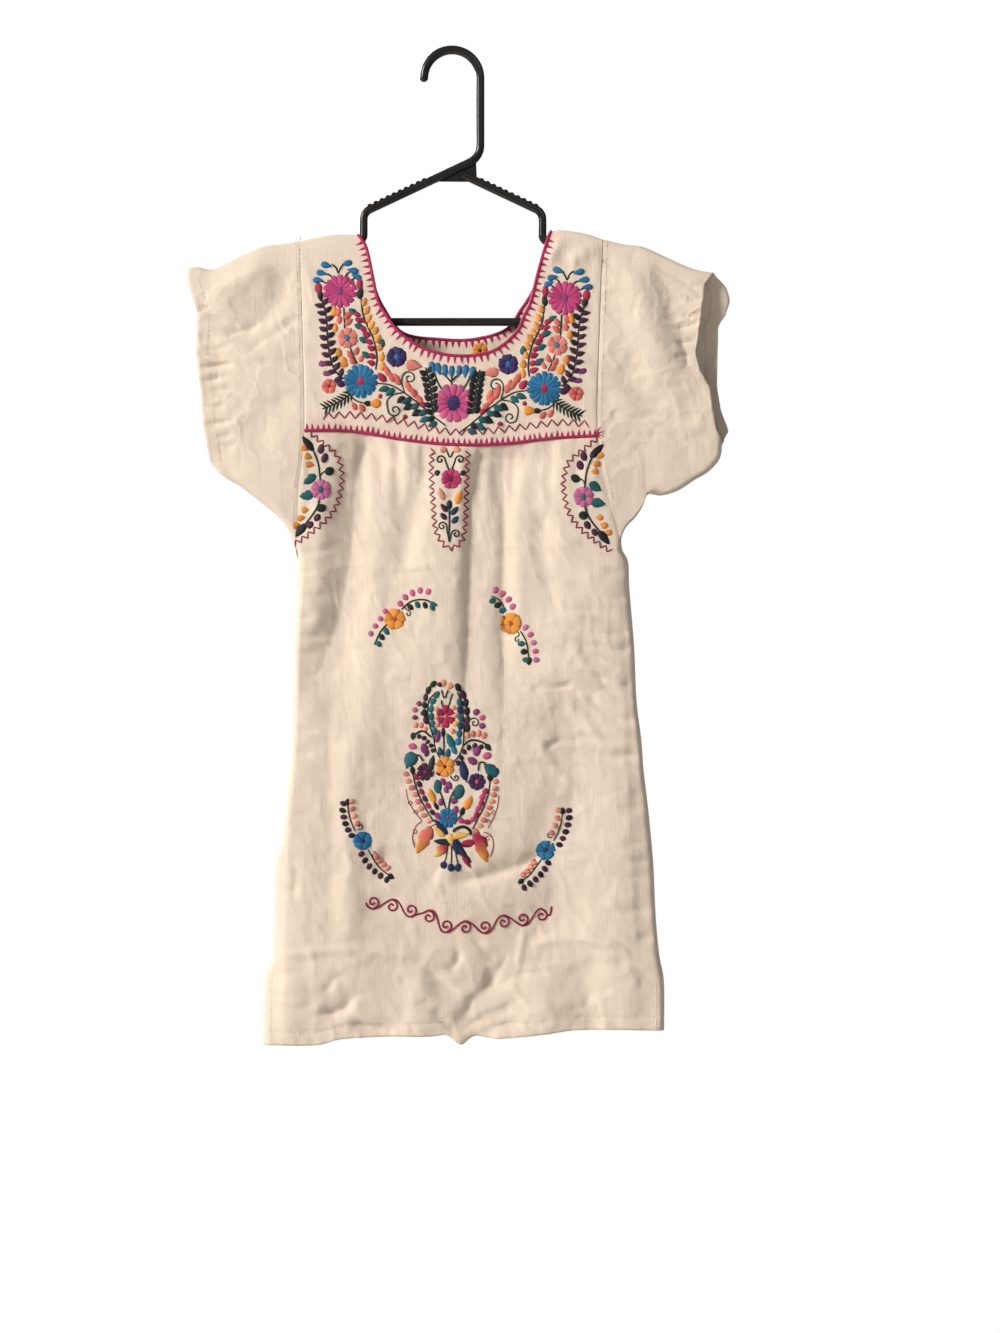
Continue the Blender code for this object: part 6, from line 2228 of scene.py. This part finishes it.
class Effects:
    """The shared effects, each one a node group that is built once."""

    def __init__(self) -> None:
        """Builds the groups."""
        self.weave = self.plain_weave()
        self.strands = self.thread_strands()
        self.wear = self.handled_wear()

    def plain_weave(self) -> bpy.types.NodeTree:
        """Plain weave with uneven yarn: height, tone with painted shade between the yarns, and blotches from
        a place.

        Returns:
            The group.
        """
        tree, canvas, ins, outs = new_group(
            "plain_weave", {"Yarns per metre": 1500.0, "Unevenness": 0.5}, ("Height", "Tone_and_painted_shade", "Blotch")
        )
        wobble = canvas.noise(ins["Place"], 160.0, 2.0)
        shifted = canvas.add("ShaderNodeVectorMath", operation="ADD")
        canvas.link(ins["Place"], shifted.inputs[0])
        spread = canvas.add("ShaderNodeCombineXYZ")
        moved = canvas.math("MULTIPLY", wobble, 0.0009)
        canvas.link(moved, spread.inputs[0])
        canvas.link(moved, spread.inputs[1])
        canvas.link(spread.outputs[0], shifted.inputs[1])
        parts = canvas.add("ShaderNodeSeparateXYZ")
        canvas.link(shifted.outputs[0], parts.inputs[0])
        turn = canvas.math("MULTIPLY", ins["Yarns per metre"], math.pi)
        warp = canvas.math("SINE", canvas.math("MULTIPLY", parts.outputs[0], turn))
        weft = canvas.math("SINE", canvas.math("MULTIPLY", parts.outputs[1], turn))
        over = canvas.math("MULTIPLY", warp, weft)
        ribs = canvas.math("ADD", canvas.math("ABSOLUTE", warp), canvas.math("ABSOLUTE", weft))
        knit = canvas.shares(over, 0.35, ribs, 0.33)
        slub_a = canvas.noise(canvas.scaled(ins["Place"], (0.06, 1.0, 1.0)), 620.0, 4.0)
        slub_b = canvas.noise(canvas.scaled(ins["Place"], (1.0, 0.06, 1.0)), 620.0, 4.0)
        slub = canvas.math("ADD", slub_a, slub_b)
        uneven = canvas.math("MULTIPLY", canvas.math("SUBTRACT", slub, 1.0), ins["Unevenness"])
        canvas.link(canvas.math("ADD", knit, canvas.math("MULTIPLY", uneven, 2.2)), outs["Height"])
        # Painted shade: the gaps between yarns come out darker, on top of the slubs' own uneven tone.
        canvas.link(canvas.math("ADD", canvas.math("MULTIPLY", knit, 0.25), canvas.math("ADD", uneven, 0.5)),
                    outs["Tone_and_painted_shade"])
        canvas.link(canvas.noise(ins["Place"], 9.0, 3.0), outs["Blotch"])
        return tree

    def thread_strands(self) -> bpy.types.NodeTree:
        """Strands of stranded cotton lying side by side: height, and tone with painted shade between the
        strands.

        Returns:
            The group.
        """
        tree, canvas, ins, outs = new_group(
            "thread_strands", {"Strands per metre": 2200.0}, ("Height", "Tone_and_painted_shade")
        )
        streak = canvas.noise(canvas.scaled(ins["Place"], (0.08, 1.0, 1.0)), 1500.0, 2.0)
        parts = canvas.add("ShaderNodeSeparateXYZ")
        canvas.link(ins["Place"], parts.inputs[0])
        turn = canvas.math("MULTIPLY", ins["Strands per metre"], math.pi)
        wander = canvas.shares(parts.outputs[1], turn, streak, 5.0)
        strand = canvas.math("ABSOLUTE", canvas.math("SINE", wander))
        canvas.link(canvas.shares(strand, 0.7, streak, 0.6), outs["Height"])
        # Painted shade: darker between the strands, on top of the thread's own streaky tone.
        canvas.link(canvas.shares(strand, 0.3, streak, 0.7), outs["Tone_and_painted_shade"])
        return tree

    def handled_wear(self) -> bpy.types.NodeTree:
        """Fine scuffs of a moulding that is handled: roughness, height and dust.

        Returns:
            The group.
        """
        tree, canvas, ins, outs = new_group("handled_wear", {"Scuffs": 0.3}, ("Roughness", "Height", "Dust"))
        cloud = canvas.noise(ins["Place"], 60.0, 4.0)
        grain = canvas.noise(ins["Place"], 1400.0, 2.0)
        scuff = canvas.noise(canvas.scaled(ins["Place"], (1.0, 1.0, 0.12)), 420.0, 3.0)
        rough = canvas.shares(cloud, 0.22, scuff, ins["Scuffs"])
        canvas.link(canvas.math("ADD", rough, 0.04), outs["Roughness"])
        canvas.link(canvas.shares(grain, 0.6, scuff, 0.4), outs["Height"])
        canvas.link(canvas.math("MULTIPLY", cloud, scuff), outs["Dust"])
        return tree


@dataclass
class Finish:
    """A procedural finish: its material is made once and put on pieces.

    Attributes:
        name: Name of the material.
        effects: The shared node groups.
    """

    name: str
    effects: Effects
    material: bpy.types.Material | None = None

    def make(self) -> tuple[NodeCanvas, bpy.types.Node]:
        """Makes the material.

        Returns:
            Its canvas and its shader.
        """
        self.material = bpy.data.materials.new(self.name)
        self.material.use_nodes = True
        canvas = NodeCanvas(self.material.node_tree)
        return canvas, self.material.node_tree.nodes["Principled BSDF"]

    def dress(self, piece: bpy.types.Object) -> None:
        """Gives a piece this finish alone."""
        piece.data.materials.clear()
        piece.data.materials.append(self.material)


@dataclass
class Cotton(Finish):
    """Unbleached plain weave cotton, with painted shade between its yarns."""

    light: Colour = (0.83, 0.69, 0.56, 1.0)
    # The darker colour: painted shade between the yarns, and the slubs' own darker tone.
    shade: Colour = (0.68, 0.55, 0.42, 1.0)
    blush: Colour = (0.80, 0.655, 0.57, 1.0)
    bleed: Colour = (0.86, 0.60, 0.52, 1.0)

    def __post_init__(self) -> None:
        """Builds the material."""
        canvas, shader = self.make()
        run = canvas.add("ShaderNodeUVMap", uv_map="cloth_run")
        weave = canvas.effect(self.effects.weave, run.outputs["UV"], Yarns_per_metre=1450.0, Unevenness=0.42)
        where = canvas.add("ShaderNodeTexCoord")
        cloud = canvas.noise(where.outputs["Object"], 14.0, 3.0)
        blush = canvas.math("MULTIPLY", canvas.math("SUBTRACT", cloud, 0.45), 1.6)
        ramp = canvas.add("ShaderNodeClamp")
        canvas.link(blush, ramp.inputs[0])
        base = canvas.blend(ramp.outputs[0], self.light, self.blush)
        # Painted shade between the yarns, with the slubs' own tone, mixes in the darker colour.
        shaded = canvas.math("SUBTRACT", 0.85, weave.outputs["Tone_and_painted_shade"])
        toned = canvas.blend(shaded, base, self.shade)
        dye = canvas.add("ShaderNodeAttribute", attribute_name="thread_dye")
        bled = canvas.blend(canvas.math("MULTIPLY", dye.outputs["Fac"], 0.66), toned, self.bleed)
        canvas.link(bled, shader.inputs["Base Color"])
        canvas.link(canvas.moved(weave.outputs["Blotch"], 0.12, 0.82), shader.inputs["Roughness"])
        canvas.bump(weave.outputs["Height"], 0.00055, 0.8, shader)
        tune(shader, Sheen_Weight=0.18, Sheen_Roughness=0.6, Specular_IOR_Level=0.25)


@dataclass
class Stranded(Finish):
    """Stranded embroidery cotton, coloured by each stitch's own tint, with painted shade between its strands.
    """

    def __post_init__(self) -> None:
        """Builds the material."""
        canvas, shader = self.make()
        run = canvas.add("ShaderNodeUVMap", uv_map="thread_run")
        strands = canvas.effect(self.effects.strands, run.outputs["UV"], Strands_per_metre=1700.0)
        tint = canvas.add("ShaderNodeAttribute", attribute_name="thread_tint")
        depth = canvas.add("ShaderNodeHueSaturation")
        canvas.link(tint.outputs["Color"], depth.inputs["Color"])
        # Painted shade between the strands darkens each stitch's tint, along with its own streaks.
        canvas.link(canvas.moved(strands.outputs["Tone_and_painted_shade"], 0.72, 0.4), depth.inputs["Value"])
        canvas.link(depth.outputs["Color"], shader.inputs["Base Color"])
        canvas.link(canvas.moved(strands.outputs["Tone_and_painted_shade"], 0.25, 0.42), shader.inputs["Roughness"])
        canvas.bump(strands.outputs["Height"], 0.00022, 0.7, shader)
        tune(shader, Sheen_Weight=0.08, Sheen_Roughness=0.4, Specular_IOR_Level=0.28)


@dataclass
class Moulded(Finish):
    """Black moulded plastic with the scuffs of use."""

    dark: Colour = (0.011, 0.0108, 0.0105, 1.0)
    pale: Colour = (0.03, 0.028, 0.026, 1.0)

    def __post_init__(self) -> None:
        """Builds the material."""
        canvas, shader = self.make()
        where = canvas.add("ShaderNodeTexCoord")
        wear = canvas.effect(self.effects.wear, where.outputs["Object"], Scuffs=0.28)
        canvas.link(canvas.blend(wear.outputs["Dust"], self.dark, self.pale), shader.inputs["Base Color"])
        canvas.link(wear.outputs["Roughness"], shader.inputs["Roughness"])
        canvas.bump(wear.outputs["Height"], 0.00004, 0.15, shader)
        tune(shader, Specular_IOR_Level=0.3)


@dataclass
class Hanger:
    """The moulded hanger: a round bar bent to shape, with a web where its arms meet.

    Attributes:
        bar: Radius of the bar.
        hook: Radius of the hook's bar line.
        web: Thickness of the web.
        web_rim: Width of the rim round the web's panels.
        web_slope: Width of the slope into a panel.
        web_recess: Depth of a panel.
        middle: Its middle, in x.
        hook_share: Thickness of the hook's tip, as a share of the bar's.
        arm_slope: How steeply the arms fall, in radians.
        rib_count: Ribs on each arm.
        rib_first: Distance of the first rib from an arm's bend.
        rib_pitch: Spacing of the ribs.
        rib_radius: Radius of a rib.
        rib_length: Length of a rib across the bar.
        rib_seat: Height of a rib's middle over the bar's, as a share of the bar's radius.
        rib_flatness: Height of a rib over its width.
        LEFT_BENDS: The bar's bends on the viewer's left: x, z and inner radius.
        WEB_OUTLINE: The web's corners.
        ARM_BEND: Where the bar bends into an arm: its distance to the side and its height.
    """

    LEFT_BENDS = (
        (-74.3, -133.0, 9.0), (-74.3, -157.6, 6.5), (-159.0, -166.3, 40.0), (-201.5, -186.0, 13.0),
        (-198.5, -225.1, 13.0),
    )
    WEB_OUTLINE = (
        (-17.2, -107.8), (3.0, -97.4), (13.5, -91.6), (20.5, -84.0), (21.5, -104.5), (16.5, -108.0),
    )
    ARM_BEND = (75.1, -133.0)

    bar: float = 3.4
    hook: float = 23.6
    web: float = 3.0
    web_rim: float = 2.8
    web_slope: float = 0.7
    web_recess: float = 0.6
    middle: float = 0.8
    hook_share: float = 1.06
    arm_slope: float = 0.44
    rib_count: int = 10
    rib_first: float = 7.0
    rib_pitch: float = 5.6
    rib_radius: float = 2.0
    rib_length: float = 4.0
    rib_seat: float = 0.84
    rib_flatness: float = 0.72

    def rounded_route(self, corners: Sequence[tuple[float, ...]]) -> list[tuple[float, float]]:
        """Points along a route whose corners are rounded.

        Args:
            corners: x, z and radius of each corner, with no radius at the two ends.

        Returns:
            The points.
        """
        points = [np.array(corners[0][:2], float)]
        for before, corner, after in zip(corners, corners[1:], corners[2:]):
            here = np.array(corner[:2], float)
            come = np.array(before[:2], float) - here
            leave = np.array(after[:2], float) - here
            come /= np.linalg.norm(come)
            leave /= np.linalg.norm(leave)
            opening = math.acos(float(np.clip(come @ leave, -1, 1)))
            bend = come + leave
            centre = here + bend / np.linalg.norm(bend) * corner[2] / math.sin(opening / 2)
            start = here + come * corner[2] / math.tan(opening / 2) - centre
            turn = math.pi - opening
            out = here - centre
            spin = float(np.sign(start[0] * out[1] - start[1] * out[0]))
            steps = max(3, math.ceil(turn / math.radians(7)))
            for step in range(steps + 1):
                angle = spin * turn * step / steps
                cosine, sine = math.cos(angle), math.sin(angle)
                turned = (start[0] * cosine - start[1] * sine, start[0] * sine + start[1] * cosine)
                points.append(centre + turned)
        points.append(np.array(corners[-1][:2], float))
        return [tuple(point) for point in points]

    def route(self) -> tuple[list[tuple[float, float]], list[float]]:
        """The bar's middle line from the hook's tip round to the web.

        Returns:
            Its points, and its thickness at each of them as a share of the bar's.
        """
        centre = -(self.hook - self.bar)
        turns = np.linspace(math.pi, 0, 33)
        hook = [(self.hook * math.cos(a), centre + self.hook * math.sin(a)) for a in turns]
        right = tuple((2 * self.middle - x, z, radius) for x, z, radius in reversed(self.LEFT_BENDS))
        corners = (
            (self.hook, centre), (self.hook, -87.0, 16.0), *self.LEFT_BENDS, *right, (9.0, -101.4),
        )
        points = hook[:-1] + self.rounded_route(corners)
        rounding = np.linspace(0.25, math.pi / 2, 6)[:-1]
        tip = [(hook[0][0], hook[0][1] - self.bar * math.cos(a)) for a in rounding]
        shares = (self.hook_share, 1.14, 1.06, 1.0)
        sizes = list(np.interp(np.arange(len(points)), (0, 10, 30, 60), shares))
        return tip + points, [self.hook_share * math.sin(a) for a in rounding] + sizes

    def sweep(self) -> bpy.types.Object:
        """Sweeps the bar along its line.

        Returns:
            The bar.
        """
        points, sizes = self.route()
        curve = bpy.data.curves.new("hanger_moulding", "CURVE")
        curve.dimensions = "3D"
        curve.bevel_depth = self.bar * MM
        curve.bevel_resolution = 5
        curve.use_fill_caps = True
        spline = curve.splines.new("POLY")
        spline.points.add(len(points) - 1)
        for point, (x, z), size in zip(spline.points, points, sizes):
            point.co = (x * MM, 0.0, z * MM, 1.0)
            point.radius = size
        bar = bpy.data.objects.new("hanger_moulding", curve)
        bpy.context.scene.collection.objects.link(bar)
        only(bar)
        bpy.ops.object.convert(target="MESH")
        return bpy.context.object

    def ribs(self) -> list[bpy.types.Object]:
        """The small ribs along the top of both arms that keep straps from sliding.

        Returns:
            The ribs.
        """
        rise, level = math.sin(self.arm_slope), math.cos(self.arm_slope)
        made = []
        for arm in (-1, 1):
            for number in range(self.rib_count):
                run = self.rib_first + self.rib_pitch * number
                x = arm * (self.ARM_BEND[0] - run * level + self.bar * self.rib_seat * rise)
                z = self.ARM_BEND[1] + run * rise + self.bar * self.rib_seat * level
                bpy.ops.mesh.primitive_cylinder_add(
                    vertices=14, radius=self.rib_radius * MM, depth=self.rib_length * MM
                )
                rib = bpy.context.object
                rib.data.transform(Matrix.Rotation(math.pi / 2, 4, "X"))
                rib.data.transform(Matrix.Scale(self.rib_flatness, 4, (arm * rise, 0, level)))
                rib.data.transform(Matrix.Translation(((x + self.middle) * MM, 0, z * MM)))
                made.append(rib)
        return made

    def plate(self) -> bpy.types.Object:
        """The web between the arms, with a shallow panel in each face.

        Returns:
            The web.
        """
        corners = np.array([(x, -self.web / 2, z) for x, z in self.WEB_OUTLINE])
        plate = mesh_piece("hanger_web", corners, [list(range(len(corners)))])
        only(plate)
        with editing():
            bpy.ops.mesh.extrude_region_move(TRANSFORM_OT_translate={"value": (0, self.web * MM, 0)})
            bpy.ops.mesh.select_all(action="SELECT")
            bpy.ops.mesh.normals_make_consistent(inside=False)
        for face in plate.data.polygons:
            face.select = abs(face.normal.y) > 0.9
        bpy.ops.object.mode_set(mode="EDIT")
        bpy.ops.mesh.select_mode(type="FACE")
        bpy.ops.mesh.inset(thickness=self.web_rim * MM, depth=0.0)
        bpy.ops.mesh.inset(thickness=self.web_slope * MM, depth=-self.web_recess * MM)
        bpy.ops.object.mode_set(mode="OBJECT")
        return plate

    def build(self, plastic: Finish) -> bpy.types.Object:
        """Makes the hanger.

        Args:
            plastic: Its finish.

        Returns:
            The joined piece.
        """
        bar = self.sweep()
        parts = [self.plate(), *self.ribs()]
        only(bar)
        for part in parts:
            part.select_set(True)
        bpy.ops.object.join()
        bar.name = "hanger_moulding"
        with editing():
            bpy.ops.mesh.remove_doubles(threshold=0.01 * MM)
            bpy.ops.mesh.normals_make_consistent(inside=False)
        bpy.ops.object.shade_smooth_by_angle(angle=math.radians(40))
        plastic.dress(bar)
        return bar


@dataclass
class Studio:
    """Floor, lights and camera.

    Attributes:
        aim: The point that the camera looks at, in metres.
        distance: The camera's distance from it.
        frame_height: Height of what the camera sees there.
        sensor: Height of the camera's sensor, in millimetres.
        floor_size: Size of the floor.
        floor_height: Height of the floor.
    """

    aim: tuple[float, float, float] = (0.0403, 0.0, -0.5145)
    distance: float = 2.6
    frame_height: float = 1.1197
    sensor: float = 36.0
    floor_size: float = 5.0
    floor_height: float = -1.75

    def floor(self) -> None:
        """A plain pale floor well below the dress."""
        bpy.ops.object.select_all(action="DESELECT")
        bpy.ops.mesh.primitive_plane_add(size=self.floor_size, location=(0, 0, self.floor_height))
        floor = bpy.context.object
        floor.name = "floor"
        material = bpy.data.materials.new("pale_floor")
        material.use_nodes = True
        tune(material.node_tree.nodes["Principled BSDF"], Base_Color=(0.8, 0.79, 0.77, 1.0), Roughness=0.7)
        floor.data.materials.append(material)

    def lamp(self, name: str, place: tuple[float, float, float], size: float, power: float,
             colour: tuple[float, float, float]) -> None:
        """A soft square light that looks at the dress.

        Args:
            name: Its name.
            place: Where it stands.
            size: Its size.
            power: Its power.
            colour: Its colour.
        """
        bpy.ops.object.light_add(type="AREA", location=place)
        lamp = bpy.context.object
        lamp.name = name
        lamp.data.size = size
        lamp.data.energy = power
        lamp.data.color = colour
        direction = Vector((0.0, 0.0, -0.5)) - Vector(place)
        lamp.rotation_euler = direction.to_track_quat("-Z", "Y").to_euler()

    def world(self) -> None:
        """A soft pale surround, white to the camera."""
        world = bpy.data.worlds.new("surround")
        bpy.context.scene.world = world
        world.use_nodes = True
        canvas = NodeCanvas(world.node_tree)
        nodes = world.node_tree.nodes
        lit = tune(nodes["Background"], Color=(1.0, 0.985, 0.96, 1.0), Strength=0.15)
        seen = tune(canvas.add("ShaderNodeBackground"), Color=(1.0, 1.0, 1.0, 1.0), Strength=1.0)
        path = canvas.add("ShaderNodeLightPath")
        mix = canvas.add("ShaderNodeMixShader")
        canvas.link(path.outputs["Is Camera Ray"], mix.inputs[0])
        canvas.link(lit.outputs[0], mix.inputs[1])
        canvas.link(seen.outputs[0], mix.inputs[2])
        canvas.link(mix.outputs[0], nodes["World Output"].inputs["Surface"])

    def camera(self) -> None:
        """A long lens straight in front of the dress."""
        place = (self.aim[0], self.aim[1] - self.distance, self.aim[2])
        bpy.ops.object.camera_add(location=place, rotation=(math.pi / 2, 0, 0))
        camera = bpy.context.object
        camera.data.sensor_fit = "VERTICAL"
        camera.data.sensor_height = self.sensor
        camera.data.lens = self.sensor * self.distance / self.frame_height
        camera.data.clip_end = 50.0
        bpy.context.scene.camera = camera

    def build(self) -> None:
        """Sets everything up."""
        self.floor()
        self.world()
        self.camera()
        bpy.context.scene.view_settings.view_transform = "Standard"
        self.lamp("key", (-5.5, -3.4, 2.15), 1.8, 690.0, (1.0, 0.98, 0.955))
        self.lamp("fill", (1.3, -1.7, 1.0), 1.4, 12.0, (1.0, 0.985, 0.97))
        self.lamp("rear", (-0.9, 1.9, 0.6), 1.0, 44.0, (1.0, 0.98, 0.96))


@dataclass(frozen=True)
class Cut:
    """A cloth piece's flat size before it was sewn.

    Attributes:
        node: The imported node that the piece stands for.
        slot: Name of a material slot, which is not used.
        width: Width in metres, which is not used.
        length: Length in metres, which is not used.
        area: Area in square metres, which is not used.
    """

    node: str
    slot: str
    width: float
    length: float
    area: float


def surface(piece: bpy.types.Object) -> float:
    """Half of a thickened sheet's surface, in square metres."""
    return sum(face.area for face in piece.data.polygons) / 2


def main() -> None:
    """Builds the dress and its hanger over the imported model, and dresses the scene."""
    logging.basicConfig(level=logging.INFO, format="%(message)s")
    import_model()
    effects = Effects()
    cotton = Cotton("unbleached_cotton", effects)
    thread = Stranded("embroidery_thread", effects)
    plastic = Moulded("black_moulded_plastic", effects)
    form = DressForm()
    cloth = Cloth()
    hanger = Hanger().build(plastic)
    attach(hanger, "root")
    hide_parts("hanger")
    LOG.info("hanger: %d faces", len(hanger.data.polygons))
    sheets = (
        (BodyPanel(form, Side.FRONT), Cut("front_body", "cotton_front", 0.40, 0.53, 0.166)),
        (BodyPanel(form, Side.BACK, 2.6, 3.6), Cut("back_body", "cotton_back", 0.36, 0.53, 0.156)),
        (Yoke(form, Side.FRONT), Cut("front_yoke", "cotton_front", 0.26, 0.18, 0.0315)),
        (Yoke(form, Side.BACK, 24, 60, 26), Cut("back_yoke", "cotton_back", 0.26, 0.18, 0.0326)),
        (Sleeve(form, "sleeve_left_cloth", -1), Cut("sleeve_left", "cotton_sleeve", 0.42, 0.11, 0.0386)),
        (Sleeve(form, "sleeve_right_cloth", 1), Cut("sleeve_right", "cotton_sleeve", 0.42, 0.12, 0.0424)),
    )
    for maker, cut in sheets:
        piece = maker.build(cloth)
        cotton.dress(piece)
        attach(piece, "root")
        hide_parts(cut.node)
        LOG.info("%s: %d faces, %.4f m2", piece.name, len(piece.data.polygons), surface(piece))
    needlework = Embroidery(form, thread)
    pieces = [needlework.yoke_front(), needlework.body_front(), needlework.yoke_back(), *needlework.edgings()]
    pieces += needlework.hems()
    for piece in pieces:
        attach(piece, "root")
        LOG.info("%s: %d faces", piece.name, len(piece.data.polygons))
    Studio().build()


if __name__ == "__main__":
    main()
